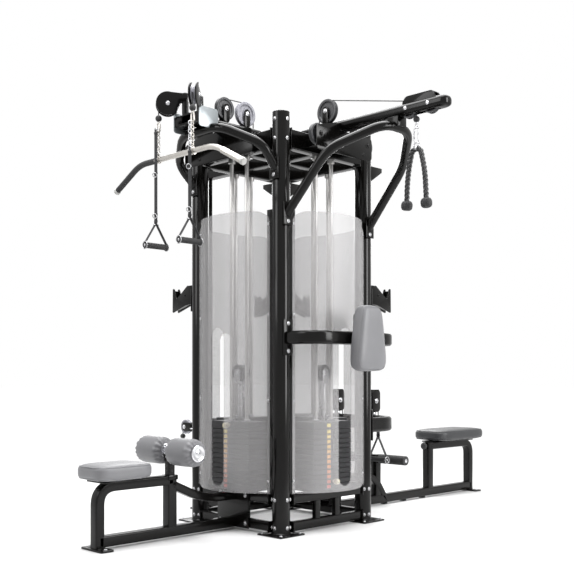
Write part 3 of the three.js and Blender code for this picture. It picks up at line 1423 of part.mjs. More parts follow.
const row_seat_floor = row.top_high + bench.seat_plate + fit.gap;
piece('row_seat', moved(cushion(row.seat_width, row.seat_length, row.seat_thick), 0,
  -row.seat_in - row.seat_length / 2, row_seat_floor + row.seat_thick / 2), 'dark_vinyl', sides.row);

function footRest() {
  const axle = rod(rest.axle_radius, [-rest.half_x, -rest.out, rest.z], [rest.half_x, -rest.out, rest.z], 16);
  const sleeves = mirroredPair((side) => {
    return rod(rest.radius, [side * rest.sleeve_inner, -rest.out, rest.z],
      [side * rest.half_x, -rest.out, rest.z], 20);
  });
  return join(axle, sleeves);
}
piece('foot_rest', footRest(), 'rubber', sides.row);

// Carriage on the column

function carriageSolid() {
  const inner = column.half + fit.gap;
  const outer = column.half + carriage.wall;
  const zs = [carriage.z - carriage.half_height, carriage.z + carriage.half_height];
  const shell = beam('z', [-outer, outer], [-column.out - outer, -column.out + outer], zs, column.edge);
  const bore = block([-inner, inner], [-column.out - inner, -column.out + inner],
    [zs[0] - fit.overrun, zs[1] + fit.overrun]);
  const reach = cheek_inner + cheek.thick;
  const cheek_z = [carriage.z - carriage.cheek_half, carriage.z + carriage.cheek_half];
  const cheeks = mirroredPair((side) => {
    const xs = [cheek_inner, reach].map((x) => side * x).sort((a, b) => a - b);
    return beam('x', xs, [-carriage.pulley_out - carriage.arm_half, -column.out - outer + fit.weld], cheek_z,
      carriage.arm_half / 2);
  });
  const bridge = block([-reach, reach], [-carriage.arm_out, -column.out - outer + fit.weld],
    [carriage.z - carriage.arm_half, carriage.z + carriage.arm_half]);
  const wheel = pulley(carriage.pulley_radius, sheave.width, [0, -carriage.pulley_out, carriage.z],
    [1, -carriage.pulley_out, carriage.z]);
  const axle = rod(sheave.axle, [-reach, -carriage.pulley_out, carriage.z],
    [reach, -carriage.pulley_out, carriage.z]);
  const knob_from = [outer - fit.weld, -column.out, carriage.z];
  const knob_to = [outer + carriage.knob_length, -column.out, carriage.z];
  const knob = join(
    rod(carriage.knob_radius / 2, knob_from, knob_to),
    rod(carriage.knob_radius, [outer + carriage.knob_length / 2, -column.out, carriage.z], knob_to, 16));
  const drop_out = carriage.pulley_out + carriage.pulley_radius * sheave.groove_share;
  const stop_z = carriage.z - carriage.pulley_radius - carriage.stop_radius;
  const stop = join(
    rod(cable.radius, [0, -drop_out, stop_z], [0, -drop_out, carriage.z], cable.sides),
    ball(carriage.stop_radius, [0, -drop_out, stop_z]));
  return join(cut(shell, [bore]), cheeks, bridge, wheel, axle, knob, stop);
}
piece('column_carriage', carriageSolid(), 'black', sides.column);

// The origin stands under the middle of the whole gym, on the floor
const whole = new THREE.Box3().setFromObject(gym);
gym.position.set(-(whole.min.x + whole.max.x) / 2, -(whole.min.y + whole.max.y) / 2, -whole.min.z);

const scene = new THREE.Group();
scene.add(gym);
export default scene;
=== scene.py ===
"""Visible pieces of a four sided cable gym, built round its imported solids.

Pieces are drawn in millimetres on one side of the tower, which faces -Y, and are turned and scaled to
their own side at the end. Distances out from the tower's middle are positive and lie along -Y.
"""

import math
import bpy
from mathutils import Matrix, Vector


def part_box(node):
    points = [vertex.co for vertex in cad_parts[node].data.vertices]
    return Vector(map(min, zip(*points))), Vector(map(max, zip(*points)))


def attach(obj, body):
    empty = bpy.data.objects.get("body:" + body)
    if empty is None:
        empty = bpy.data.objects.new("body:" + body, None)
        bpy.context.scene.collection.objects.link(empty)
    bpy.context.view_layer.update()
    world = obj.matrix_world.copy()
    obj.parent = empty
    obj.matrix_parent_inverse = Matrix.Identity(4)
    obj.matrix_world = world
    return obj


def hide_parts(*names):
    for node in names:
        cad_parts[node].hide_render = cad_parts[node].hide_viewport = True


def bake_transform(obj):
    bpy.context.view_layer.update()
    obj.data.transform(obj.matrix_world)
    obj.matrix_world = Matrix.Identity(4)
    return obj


bl_info = {
    "name": "Multi station gym",
    "version": (1, 0, 0),
    "blender": (4, 5, 0),
    "location": "View3D > Sidebar > Gym",
    "description": "Builds the visible pieces of a four sided cable gym round its solids",
    "category": "Object",
}

import bmesh
import bpy
from bpy.props import FloatProperty, FloatVectorProperty, IntProperty, PointerProperty
from mathutils import Matrix, Vector, noise

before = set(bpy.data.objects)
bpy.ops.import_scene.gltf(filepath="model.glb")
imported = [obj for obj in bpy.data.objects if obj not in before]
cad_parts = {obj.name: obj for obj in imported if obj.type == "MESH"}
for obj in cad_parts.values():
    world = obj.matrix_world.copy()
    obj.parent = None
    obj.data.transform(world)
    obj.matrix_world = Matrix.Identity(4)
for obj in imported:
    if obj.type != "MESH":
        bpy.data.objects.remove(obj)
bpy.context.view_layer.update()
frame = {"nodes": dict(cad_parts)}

SCALE = 0.001
SIDES = {"pulldown": 0, "pushdown": 90, "row": 180, "column": 270}


def tower_middle():
    low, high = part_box("top_frame")
    middle = (low + high) / 2
    return Vector((middle.x, middle.y, 0))


def side_matrix(side):
    turn = Matrix.Rotation(math.radians(SIDES[side]), 4, "Z")
    return Matrix.Translation(tower_middle()) @ turn @ Matrix.Scale(SCALE, 4)


# ---------------------------------------------------------------------------------------------------
# Finishes
# ---------------------------------------------------------------------------------------------------


def shader_group(name, inputs, outputs):
    group = bpy.data.node_groups.new(name, "ShaderNodeTree")
    for label, default in inputs:
        socket = group.interface.new_socket(name=label, in_out="INPUT", socket_type="NodeSocketFloat")
        socket.default_value = default
    for label, kind in outputs:
        group.interface.new_socket(name=label, in_out="OUTPUT", socket_type=kind)
    return group, group.nodes.new("NodeGroupInput"), group.nodes.new("NodeGroupOutput")


def add_node(tree, kind, **values):
    node = tree.nodes.new(kind)
    for key, value in values.items():
        setattr(node, key, value)
    return node


def position(tree):
    return tree.nodes.new("ShaderNodeTexCoord").outputs["Object"]


def grain_group():
    """Fine pebbled grain, as height."""
    group, start, end = shader_group("Grain", [("Scale", 900.0), ("Depth", 0.5)], [("Height", "NodeSocketFloat")])
    cells = add_node(group, "ShaderNodeTexVoronoi", feature="SMOOTH_F1")
    cells.inputs["Smoothness"].default_value = 0.6
    soft = add_node(group, "ShaderNodeTexNoise")
    soft.inputs["Detail"].default_value = 3
    group.links.new(position(group), cells.inputs["Vector"])
    group.links.new(position(group), soft.inputs["Vector"])
    group.links.new(start.outputs["Scale"], cells.inputs["Scale"])
    group.links.new(start.outputs["Scale"], soft.inputs["Scale"])
    total = add_node(group, "ShaderNodeMath", operation="ADD")
    scaled = add_node(group, "ShaderNodeMath", operation="MULTIPLY")
    group.links.new(cells.outputs["Distance"], total.inputs[0])
    group.links.new(soft.outputs["Fac"], total.inputs[1])
    group.links.new(total.outputs[0], scaled.inputs[0])
    group.links.new(start.outputs["Depth"], scaled.inputs[1])
    group.links.new(scaled.outputs[0], end.inputs["Height"])
    return group


def handling_group():
    """Broad soft marks from handling and cleaning, as a mask round one half."""
    group, start, end = shader_group("Handling", [("Scale", 6.0), ("Contrast", 0.5)], [("Mask", "NodeSocketFloat")])
    broad = add_node(group, "ShaderNodeTexNoise")
    broad.inputs["Detail"].default_value = 5
    broad.inputs["Roughness"].default_value = 0.62
    group.links.new(position(group), broad.inputs["Vector"])
    group.links.new(start.outputs["Scale"], broad.inputs["Scale"])
    centred = add_node(group, "ShaderNodeMath", operation="SUBTRACT")
    centred.inputs[1].default_value = 0.5
    scaled = add_node(group, "ShaderNodeMath", operation="MULTIPLY")
    shifted = add_node(group, "ShaderNodeMath", operation="ADD")
    shifted.inputs[1].default_value = 0.5
    shifted.use_clamp = True
    group.links.new(broad.outputs["Fac"], centred.inputs[0])
    group.links.new(centred.outputs[0], scaled.inputs[0])
    group.links.new(start.outputs["Contrast"], scaled.inputs[1])
    group.links.new(scaled.outputs[0], shifted.inputs[0])
    group.links.new(shifted.outputs[0], end.inputs["Mask"])
    return group


GROUPS = {}


def group_node(tree, name, **values):
    if name not in GROUPS:
        GROUPS[name] = {"Grain": grain_group, "Handling": handling_group}[name]()
    node = add_node(tree, "ShaderNodeGroup", node_tree=GROUPS[name])
    for key, value in values.items():
        node.inputs[key].default_value = value
    return node


def start_material(name, colour, rough, metal=0.0, coat=0.0, coat_rough=0.05):
    material = bpy.data.materials.new(name)
    material.use_nodes = True
    tree = material.node_tree
    shader = tree.nodes["Principled BSDF"]
    shader.inputs["Base Color"].default_value = (*colour, 1)
    shader.inputs["Roughness"].default_value = rough
    shader.inputs["Metallic"].default_value = metal
    shader.inputs["Coat Weight"].default_value = coat
    shader.inputs["Coat Roughness"].default_value = coat_rough
    material.diffuse_color = (*colour, 1)
    return material, tree, shader


def vary_colour(tree, shader, mask, dark, light):
    ramp = add_node(tree, "ShaderNodeMix", data_type="RGBA")
    ramp.inputs["A"].default_value = (*dark, 1)
    ramp.inputs["B"].default_value = (*light, 1)
    tree.links.new(mask, ramp.inputs["Factor"])
    tree.links.new(ramp.outputs["Result"], shader.inputs["Base Color"])
    return ramp


def vary_rough(tree, shader, mask, low, high):
    spread = add_node(tree, "ShaderNodeMapRange")
    spread.inputs["To Min"].default_value = low
    spread.inputs["To Max"].default_value = high
    tree.links.new(mask, spread.inputs["Value"])
    tree.links.new(spread.outputs["Result"], shader.inputs["Roughness"])


def bump(tree, shader, height, strength, distance):
    node = add_node(tree, "ShaderNodeBump")
    node.inputs["Strength"].default_value = strength
    node.inputs["Distance"].default_value = distance
    tree.links.new(height, node.inputs["Height"])
    tree.links.new(node.outputs["Normal"], shader.inputs["Normal"])


def shade(colour, factor):
    return tuple(min(1.0, channel * factor) for channel in colour)


def painted_steel(colour):
    """Powder coat: a faint orange peel under a gloss that handling dulls a little."""
    material, tree, shader = start_material("painted steel", colour, 0.26, 0.0, 0.0, 0.1)
    shader.inputs["Specular IOR Level"].default_value = 0.2
    marks = group_node(tree, "Handling", Scale=5.0, Contrast=1.6)
    vary_colour(tree, shader, marks.outputs["Mask"], shade(colour, 0.8), shade(colour, 1.25))
    vary_rough(tree, shader, marks.outputs["Mask"], 0.1, 0.2)
    peel = group_node(tree, "Grain", Scale=700.0, Depth=0.3)
    bump(tree, shader, peel.outputs["Height"], 0.04, 0.0002)
    return material


def bright_metal(name, colour, low, high):
    material, tree, shader = start_material(name, colour, low, 1.0)
    marks = group_node(tree, "Handling", Scale=14.0, Contrast=1.8)
    vary_rough(tree, shader, marks.outputs["Mask"], low, high)
    vary_colour(tree, shader, marks.outputs["Mask"], shade(colour, 0.9), shade(colour, 1.04))
    return material


def upholstery(name, colour):
    """Grained vinyl with soft creases."""
    material, tree, shader = start_material(name, colour, 0.42)
    marks = group_node(tree, "Handling", Scale=9.0, Contrast=1.5)
    vary_colour(tree, shader, marks.outputs["Mask"], shade(colour, 0.9), shade(colour, 1.07))
    vary_rough(tree, shader, marks.outputs["Mask"], 0.34, 0.5)
    grain = group_node(tree, "Grain", Scale=650.0, Depth=0.6)
    bump(tree, shader, grain.outputs["Height"], 0.35, 0.0006)
    shader.inputs["Sheen Weight"].default_value = 0.05
    return material


def frosted_sheet(colour):
    """Frosted acrylic that lets the stacks show through faintly, with painted highlight and shade: upright streaks of
    lighter and darker colour stand in for the reflections along the curved sheet.
    """
    material, tree, shader = start_material("frosted sheet", colour, 0.42, 0.0, 0.15, 0.25)
    shader.inputs["Alpha"].default_value = 0.33
    marks = group_node(tree, "Handling", Scale=2.2, Contrast=1.3)
    # Painted highlight and shade: noise stretched upright paints light and dark vertical streaks into the sheet's
    # colour, in place of its reflections.
    upright = add_node(tree, "ShaderNodeMapping")
    upright.inputs["Scale"].default_value = (9.0, 9.0, 0.35)
    highlight_and_shade_streaks = add_node(tree, "ShaderNodeTexNoise")
    highlight_and_shade_streaks.inputs["Scale"].default_value = 1.0
    highlight_and_shade_streaks.inputs["Detail"].default_value = 2
    tree.links.new(position(tree), upright.inputs["Vector"])
    tree.links.new(upright.outputs["Vector"], highlight_and_shade_streaks.inputs["Vector"])
    vary_colour(tree, shader, highlight_and_shade_streaks.outputs["Fac"], shade(colour, 0.72), shade(colour, 1.34))
    vary_rough(tree, shader, marks.outputs["Mask"], 0.36, 0.5)
    grain = group_node(tree, "Grain", Scale=1400.0, Depth=0.3)
    bump(tree, shader, grain.outputs["Height"], 0.1, 0.0003)
    return material


def moulded(name, colour, low, high, scale=500.0):
    material, tree, shader = start_material(name, colour, low)
    marks = group_node(tree, "Handling", Scale=18.0, Contrast=1.6)
    vary_colour(tree, shader, marks.outputs["Mask"], shade(colour, 0.88), shade(colour, 1.1))
    vary_rough(tree, shader, marks.outputs["Mask"], low, high)
    grain = group_node(tree, "Grain", Scale=scale, Depth=0.5)
    bump(tree, shader, grain.outputs["Height"], 0.2, 0.0004)
    return material


def woven(name, colour, scale):
    """Webbing: two crossed sets of threads."""
    material, tree, shader = start_material(name, colour, 0.8)
    place = position(tree)
    total = add_node(tree, "ShaderNodeMath", operation="ADD")
    for index, direction in enumerate(("Z", "X")):
        wave = add_node(tree, "ShaderNodeTexWave", wave_type="BANDS", bands_direction=direction)
        wave.inputs["Scale"].default_value = scale
        wave.inputs["Distortion"].default_value = 0.4
        tree.links.new(place, wave.inputs["Vector"])
        tree.links.new(wave.outputs["Fac"], total.inputs[index])
    halved = add_node(tree, "ShaderNodeMath", operation="MULTIPLY")
    halved.inputs[1].default_value = 0.5
    tree.links.new(total.outputs[0], halved.inputs[0])
    vary_colour(tree, shader, halved.outputs[0], shade(colour, 0.6), shade(colour, 1.5))
    bump(tree, shader, halved.outputs[0], 0.6, 0.0008)
    return material


def tag_colours():
    """Number tags that turn from yellow to red down the stack, by an attribute of their faces."""
    material, tree, shader = start_material("number tags", (0.8, 0.6, 0.1), 0.45)
    share = add_node(tree, "ShaderNodeAttribute", attribute_name="share")
    ramp = add_node(tree, "ShaderNodeValToRGB")
    ramp.color_ramp.elements[0].color = (0.75, 0.62, 0.12, 1)
    ramp.color_ramp.elements[1].color = (0.52, 0.05, 0.04, 1)
    middle = ramp.color_ramp.elements.new(0.55)
    middle.color = (0.72, 0.3, 0.06, 1)
    tree.links.new(share.outputs["Fac"], ramp.inputs["Fac"])
    tree.links.new(ramp.outputs["Color"], shader.inputs["Base Color"])
    return material


FINISHES = {}


def finish_of(name):
    """The material of a finish, made once, in the colours of the settings."""
    if name in FINISHES:
        return FINISHES[name]
    colours = bpy.context.scene.gym_colours
    makers = {
        "frame": lambda: painted_steel(tuple(colours.frame)),
        "chrome": lambda: bright_metal("chrome", (0.6, 0.6, 0.62), 0.06, 0.16),
        "steel": lambda: bright_metal("bright steel", (0.44, 0.44, 0.45), 0.2, 0.34),
        "vinyl": lambda: upholstery("light vinyl", tuple(colours.vinyl)),
        "dark_vinyl": lambda: upholstery("dark vinyl", tuple(colours.dark_vinyl)),
        "shroud": lambda: frosted_sheet(tuple(colours.shroud)),
        "plates": lambda: moulded("cast plates", (0.035, 0.035, 0.038), 0.42, 0.6, 260.0),
        "pale_pulley": lambda: moulded("pale nylon", (0.34, 0.34, 0.38), 0.3, 0.45),
        "pulley": lambda: moulded("dark nylon", (0.035, 0.036, 0.04), 0.3, 0.5),
        "cable": lambda: moulded("cable jacket", (0.02, 0.02, 0.021), 0.3, 0.45, 900.0),
        "rubber": lambda: moulded("rubber", (0.022, 0.022, 0.023), 0.6, 0.8, 420.0),
        "rope": lambda: moulded("rope yarn", (0.02, 0.02, 0.021), 0.3, 0.42, 300.0),
        "strap": lambda: woven("webbing", (0.028, 0.028, 0.03), 180.0),
        "knob": lambda: moulded("cream knob", (0.72, 0.66, 0.47), 0.3, 0.4),
        "cap": lambda: moulded("pale cap", (0.6, 0.6, 0.58), 0.35, 0.5),
        "zinc": lambda: bright_metal("zinc plate", (0.27, 0.29, 0.3), 0.34, 0.44),
        "satin": lambda: bright_metal("satin steel", (0.5, 0.48, 0.45), 0.24, 0.32),
        "rods": lambda: bright_metal("ground rods", (0.56, 0.55, 0.54), 0.34, 0.38),
        "tags": tag_colours,
    }
    FINISHES[name] = makers[name]()
    return FINISHES[name]


# ---------------------------------------------------------------------------------------------------
# Shapes, each a closed bmesh in millimetres
# ---------------------------------------------------------------------------------------------------


def box(xs, ys, zs, edge=2.0, segments=2):
    """A block between two corners with rounded edges."""
    low = Vector((min(xs), min(ys), min(zs)))
    high = Vector((max(xs), max(ys), max(zs)))
    shape = bmesh.new()
    size = high - low
    bmesh.ops.create_cube(shape, size=1, matrix=Matrix.Translation((low + high) / 2) @ Matrix.Diagonal((*size, 1)))
    if edge > 0:
        bevel(shape, shape.edges[:], min(edge, min(size) * 0.45), segments)
    return shape


def bevel(shape, edges, width, segments=2):
    bmesh.ops.bevel(
        shape, geom=edges, offset=width, offset_type="OFFSET", segments=segments, profile=0.5,
        affect="EDGES", material=-1, clamp_overlap=True)


def turned(profile, origin, along, steps=40):
    """A turned shape: radius and height pairs along a line."""
    shape = bmesh.new()
    turn = Vector(along).to_track_quat("Z", "X").to_matrix().to_4x4()
    basis = Matrix.Translation(Vector(origin)) @ turn
    points = [shape.verts.new(basis @ Vector((radius, 0, height))) for radius, height in profile]
    edges = [shape.edges.new(pair) for pair in zip(points, points[1:])]
    bmesh.ops.spin(
        shape, geom=points + edges, cent=Vector(origin), axis=Vector(along).normalized(),
        angle=2 * math.pi, steps=steps, use_merge=True, use_normal_flip=False, use_duplicate=False)
    bmesh.ops.remove_doubles(shape, verts=shape.verts[:], dist=0.01)
    return shape


def rod(radius, start, end, steps=24, edge=1.0):
    """A round bar between two points, its ends softened."""
    start, end = Vector(start), Vector(end)
    length = (end - start).length
    edge = min(edge, radius * 0.4, length * 0.4)
    profile = [
        (0, 0), (radius - edge, 0), (radius - 0.3 * edge, 0.3 * edge), (radius, edge),
        (radius, length - edge), (radius - 0.3 * edge, length - 0.3 * edge), (radius - edge, length), (0, length),
    ]
    return turned(profile, start, end - start, steps)


def ball(radius, centre, stretch=1.0):
    shape = bmesh.new()
    matrix = Matrix.Translation(Vector(centre)) @ Matrix.Diagonal((1, 1, stretch, 1))
    bmesh.ops.create_uvsphere(shape, u_segments=28, v_segments=16, radius=radius, matrix=matrix)
    return shape


def ring(radius, thickness, centre, along, steps=28):
    """A closed ring of round wire."""
    shape = bmesh.new()
    turn = Vector(along).to_track_quat("Z", "X").to_matrix().to_4x4()
    basis = Matrix.Translation(Vector(centre)) @ turn
    points = []
    count = 10
    for i in range(count):
        angle = 2 * math.pi * i / count
        point = Vector((radius + thickness * math.cos(angle), 0, thickness * math.sin(angle)))
        points.append(shape.verts.new(basis @ point))
    edges = [shape.edges.new((points[i], points[(i + 1) % count])) for i in range(count)]
    bmesh.ops.spin(
        shape, geom=points + edges, cent=Vector(centre), axis=Vector(along).normalized(),
        angle=2 * math.pi, steps=steps, use_merge=True, use_normal_flip=False, use_duplicate=False)
    bmesh.ops.remove_doubles(shape, verts=shape.verts[:], dist=0.01)
    return shape


def rounded_line(points, bends, steps=10):
    """The points of a line whose corners are rounded off."""
    corners = [Vector(point) for point in points]
    if not isinstance(bends, (list, tuple)):
        bends = [bends] * (len(corners) - 2)
    line = [corners[0]]
    for i in range(1, len(corners) - 1):
        corner = corners[i]
        before = line[-1] - corner
        after = corners[i + 1] - corner
        free = 0.98 if i == len(corners) - 2 else 0.49
        reach = min(bends[i - 1], 0.98 * before.length, free * after.length)
        entry = corner + before.normalized() * reach
        leave = corner + after.normalized() * reach
        for k in range(steps + 1):
            t = k / steps
            line.append(entry * (1 - t) ** 2 + corner * 2 * t * (1 - t) + leave * t ** 2)
    line.append(corners[-1])
    return line


def round_section(radius, sides=24):
    return [(radius * math.cos(2 * math.pi * i / sides), radius * math.sin(2 * math.pi * i / sides))
            for i in range(sides)]


def box_section(width, height, radius, steps=4):
    """A rectangle with rounded corners, centred."""
    corners = [(1, 1), (-1, 1), (-1, -1), (1, -1)]
    points = []
    for index, (sx, sy) in enumerate(corners):
        for k in range(steps + 1):
            angle = math.pi / 2 * (index + k / steps)
            x = sx * (width / 2 - radius) + radius * math.cos(angle)
            y = sy * (height / 2 - radius) + radius * math.sin(angle)
            points.append((x, y))
    return points


def sweep(line, section, side=(1, 0, 0), sizes=None):
    """Draws a flat section along a line. The section's first direction starts along side."""
    shape = bmesh.new()
    count = len(line)
    tangents = [(line[min(i + 1, count - 1)] - line[max(i - 1, 0)]).normalized() for i in range(count)]
    across = Vector(side).normalized()
    if abs(across.dot(tangents[0])) > 0.98:
        across = Vector((0, 1, 0))
    across = (across - tangents[0] * across.dot(tangents[0])).normalized()
    frames = []
    for i in range(count):
        if i > 0:
            across = tangents[i - 1].rotation_difference(tangents[i]) @ across
        up = tangents[i].cross(across).normalized()
        basis = Matrix((across, up, tangents[i])).transposed().to_4x4()
        size = Matrix.Scale(sizes[i], 4) if sizes else Matrix.Identity(4)
        frames.append(Matrix.Translation(line[i]) @ basis @ size)
    points = [shape.verts.new(frames[0] @ Vector((u, v, 0))) for u, v in section]
    face = shape.faces.new(points)
    rim = face.edges[:]
    for i in range(1, count):
        made = bmesh.ops.extrude_edge_only(shape, edges=rim)["geom"]
        points = [g for g in made if isinstance(g, bmesh.types.BMVert)]
        bmesh.ops.transform(shape, matrix=frames[i] @ frames[i - 1].inverted(), verts=points)
        found = set(points)
        rim = [g for g in made if isinstance(g, bmesh.types.BMEdge) and all(v in found for v in g.verts)]
    bmesh.ops.contextual_create(shape, geom=rim)
    return shape


def pipe(points, bends, radius, sides=24, steps=10):
    return sweep(rounded_line(points, bends, steps), round_section(radius, sides))


def tube(start, end, width, height, radius=6.0, side=(1, 0, 0)):
    """A straight tube of rounded rectangular section."""
    return sweep([Vector(start), Vector(end)], box_section(width, height, radius), side)


def plate(outline, thickness, plane, at=0.0, edge=1.0):
    """A flat shape made thick. The plane xz lies across the view and yz along it; at is its middle."""
    shape = bmesh.new()
    place = {
        "xz": lambda a, b: Vector((a, at - thickness / 2, b)),
        "yz": lambda a, b: Vector((at - thickness / 2, a, b)),
        "xy": lambda a, b: Vector((a, b, at - thickness / 2)),
    }[plane]
    push = {"xz": (0, thickness, 0), "yz": (thickness, 0, 0), "xy": (0, 0, thickness)}[plane]
    face = shape.faces.new([shape.verts.new(place(a, b)) for a, b in outline])
    made = bmesh.ops.extrude_face_region(shape, geom=[face])["geom"]
    points = [g for g in made if isinstance(g, bmesh.types.BMVert)]
    bmesh.ops.translate(shape, vec=Vector(push), verts=points)
    if edge > 0:
        caps = [e for e in shape.edges if any(len(f.verts) == len(outline) and len(outline) > 4 for f in e.link_faces)]
        bevel(shape, caps if len(outline) > 4 else shape.edges[:], edge, 2)
    return shape


def half_section(width, height, radius, inner, steps=8):
    """The right hand part of a rounded rectangle, cut off at inner."""
    x, y = width / 2 - radius, height / 2 - radius
    return (
        [(inner, -height / 2)] + corner_arc(x, -y, radius, -90, 0, steps)
        + corner_arc(x, y, radius, 0, 90, steps) + [(inner, height / 2)])


def corner_arc(cx, cy, radius, start, end, steps=6):
    angles = [math.radians(start + (end - start) * k / steps) for k in range(steps + 1)]
    return [(cx + radius * math.cos(a), cy + radius * math.sin(a)) for a in angles]


def rounded_outline(low_x, high_x, low_y, high_y, radius, steps=6):
    return (
        corner_arc(high_x - radius, high_y - radius, radius, 0, 90, steps)
        + corner_arc(low_x + radius, high_y - radius, radius, 90, 180, steps)
        + corner_arc(low_x + radius, low_y + radius, radius, 180, 270, steps)
        + corner_arc(high_x - radius, low_y + radius, radius, 270, 360, steps))


def bolt(at, along, radius=9.0):
    """A domed bolt head with a socket, on its washer."""
    r = radius
    profile = [
        (0, -2), (1.4 * r, -2), (1.4 * r, 1.2), (1.3 * r, 1.6), (r, 1.6), (r, 0.45 * r), (0.82 * r, 0.7 * r),
        (0.45 * r, 0.84 * r), (0.38 * r, 0.82 * r), (0.36 * r, 0.4 * r), (0, 0.4 * r),
    ]
    return turned(profile, at, along, 18)


def wheel(radius, width, at, along, axle=8.0):
    """A grooved pulley with a dished web, a hub and its axle's ends."""
    h = width / 2
    profile = [
        (axle, h), (axle * 2.1, h), (axle * 2.3, h * 0.9), (axle * 2.4, h * 0.55), (radius * 0.72, h * 0.5),
        (radius * 0.76, h * 0.9), (radius * 0.8, h), (radius * 0.97, h), (radius, h * 0.9), (radius * 0.99, h * 0.75),
        (radius * 0.87, h * 0.34), (radius * 0.84, 0),
    ]
    whole = profile + [(r, -z) for r, z in reversed(profile[:-1])] + [profile[0]]
    return turned(whole, at, along, 48)


class Form:
    """Closed shapes that together make one piece."""

    def __init__(self, *shapes):
        self.whole = bmesh.new()
        self.add(*shapes)

    def add(self, *shapes, matrix=None):
        for shape in shapes:
            if isinstance(shape, (list, tuple)):
                self.add(*shape, matrix=matrix)
                continue
            if matrix is not None:
                shape.transform(matrix)
            bmesh.ops.recalc_face_normals(shape, faces=shape.faces[:])
            carrier = bpy.data.meshes.new("carrier")
            shape.to_mesh(carrier)
            shape.free()
            self.whole.from_mesh(carrier)
            bpy.data.meshes.remove(carrier)
        return self

    def place(self, name, side, body, finish, replaces=(), slot=None, smooth=38, before=None):
        """Turns the piece to its side, scales it to metres and lets it ride on its body."""
        self.whole.transform(side_matrix(side))
        mesh = bpy.data.meshes.new(name)
        self.whole.to_mesh(mesh)
        self.whole.free()
        mesh.shade_smooth()
        mesh.set_sharp_from_angle(angle=math.radians(smooth))
        piece = bpy.data.objects.new(name, mesh)
        bpy.context.scene.collection.objects.link(piece)
        mesh.materials.append(finish_of(finish))
        if before:
            before(piece)
        if body:
            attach(piece, body)
        if replaces:
            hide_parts(*replaces)
        return piece


def mirror(make):
    """A pair of shapes, on the left and on the right."""
    return [make(1), make(-1)]


def turned_about(x, y, degrees, dx=0.0, dy=0.0):
    return Matrix.Translation((x + dx, y + dy, 0)) @ Matrix.Rotation(math.radians(degrees), 4, "Z")


# ---------------------------------------------------------------------------------------------------
# Tower
# ---------------------------------------------------------------------------------------------------

HALF = 328.0
POST = 47.0
POST_FACE = HALF + POST + 0.3
CORNERS = {"front": "pulldown", "right": "pushdown", "back": "row", "left": "column"}


def hook_shapes(face):
    """A forked hook on its plate, for a bar to rest in, and the gusset above."""
    arm = rounded_line([(4, 0, 1246), (60, 0, 1241), (174, 0, 1207), (176, 0, 1322)], [10, 26], 8)
    cheek = [
        (0, 1345), (46, 1345), (128, 1284), (143, 1276), (153, 1284), (164, 1326), (172, 1335), (180, 1332),
        (182, 1200), (176, 1195), (60, 1232), (0, 1238)]
    solids = [
        box((0, 8), (-28, 28), (1195, 1325), 2),
        sweep(arm, box_section(34, 10, 3), (0, 1, 0)),
        plate(cheek, 7, "xz", -19),
        plate(cheek, 7, "xz", 19),
        bolt((66, -22.5, 1292), (0, -1, 0), 6),
        bolt((66, 22.5, 1292), (0, 1, 0), 6),
        plate([(-3, 1930), (120, 2010), (120, 2034), (-3, 2034)], 8, "xz", 0, 1),
    ]
    matrix = Matrix.Translation((face, 0, 0))
    for solid in solids:
        solid.transform(matrix)
    return solids


class GYM_OT_posts(bpy.types.Operator):
    """Builds the four round posts with their feet, fins and hooks"""

    bl_idname = "gym.posts"
    bl_label = "Posts"

    def execute(self, context):
        height = context.scene.gym_sizes.post_height / SCALE
        hooks = {"front": [], "right": [0], "back": [0, -90], "left": [-90]}
        for corner, side in CORNERS.items():
            form = Form(
                turned([
                    (0, 2), (POST, 2), (POST, height - 5), (POST - 1.5, height - 1.5), (POST - 5, height),
                    (0, height)], (HALF, -HALF, 0), (0, 0, 1), 64),
                plate(rounded_outline(HALF - 90, HALF + 90, -HALF - 90, -HALF + 90, 9), 8, "xy", 4, 1.2))
            form.add(turned([(POST, 8), (POST + 6, 8), (POST + 4, 10.5), (POST, 14)], (HALF, -HALF, 0), (0, 0, 1), 48))
            form.add(box((262, HALF), (-366, -362), (216, 1694), 0.8), box((362, 366), (-HALF, -262), (216, 1694), 0.8))
            for turn in hooks[corner]:
                form.add(hook_shapes(POST), matrix=turned_about(HALF, -HALF, turn))
            form.place(f"post_tube_{corner}", side, "tower", "frame", [f"post_{corner}"])
        return {"FINISHED"}


def ladder_shapes():
    solids = []
    for low, high in ((15, 64), (160, 211)):
        middle = (low + high) / 2
        solids.append(tube((-276, -345, middle), (276, -345, middle), 40, high - low, 6, (0, 1, 0)))
    solids += mirror(lambda s: tube((s * 78, -345, 60), (s * 78, -345, 164), 38, 30, 5))
    for low, high in ((10, 69), (155, 211)):
        solids += mirror(lambda s: box((s * 272.7, s * 280.7), (-375, -315), (low, high), 1.5))
    return solids


class GYM_OT_ladders(bpy.types.Operator):
    """Builds the ladder frames between the feet, and the column of the fourth side"""

    bl_idname = "gym.ladders"
    bl_label = "Ladder frames"

    def execute(self, context):
        for side in SIDES:
            form = Form(*ladder_shapes())
            if side == "column":
                form.add(
                    tube((0, -680, 5), (0, -680, 2100), 70, 70, 8),
                    tube((0, -680, 39.5), (0, -345, 39.5), 70, 49, 7),
                    tube((0, -680, 2070), (0, -356.3, 2070), 70, 60, 8),
                    box((-90, 90), (-716, -644), (0, 10), 2))
                form.add([turned([(0, 0), (5, 0), (5, 1), (0, 1)], (0, -714.4, z), (0, -1, 0), 16)
                          for z in range(700, 1950, 75)])
            form.place(f"ladder_frame_{side}", side, "tower", "frame", [f"ladder_{side}"])
        return {"FINISHED"}


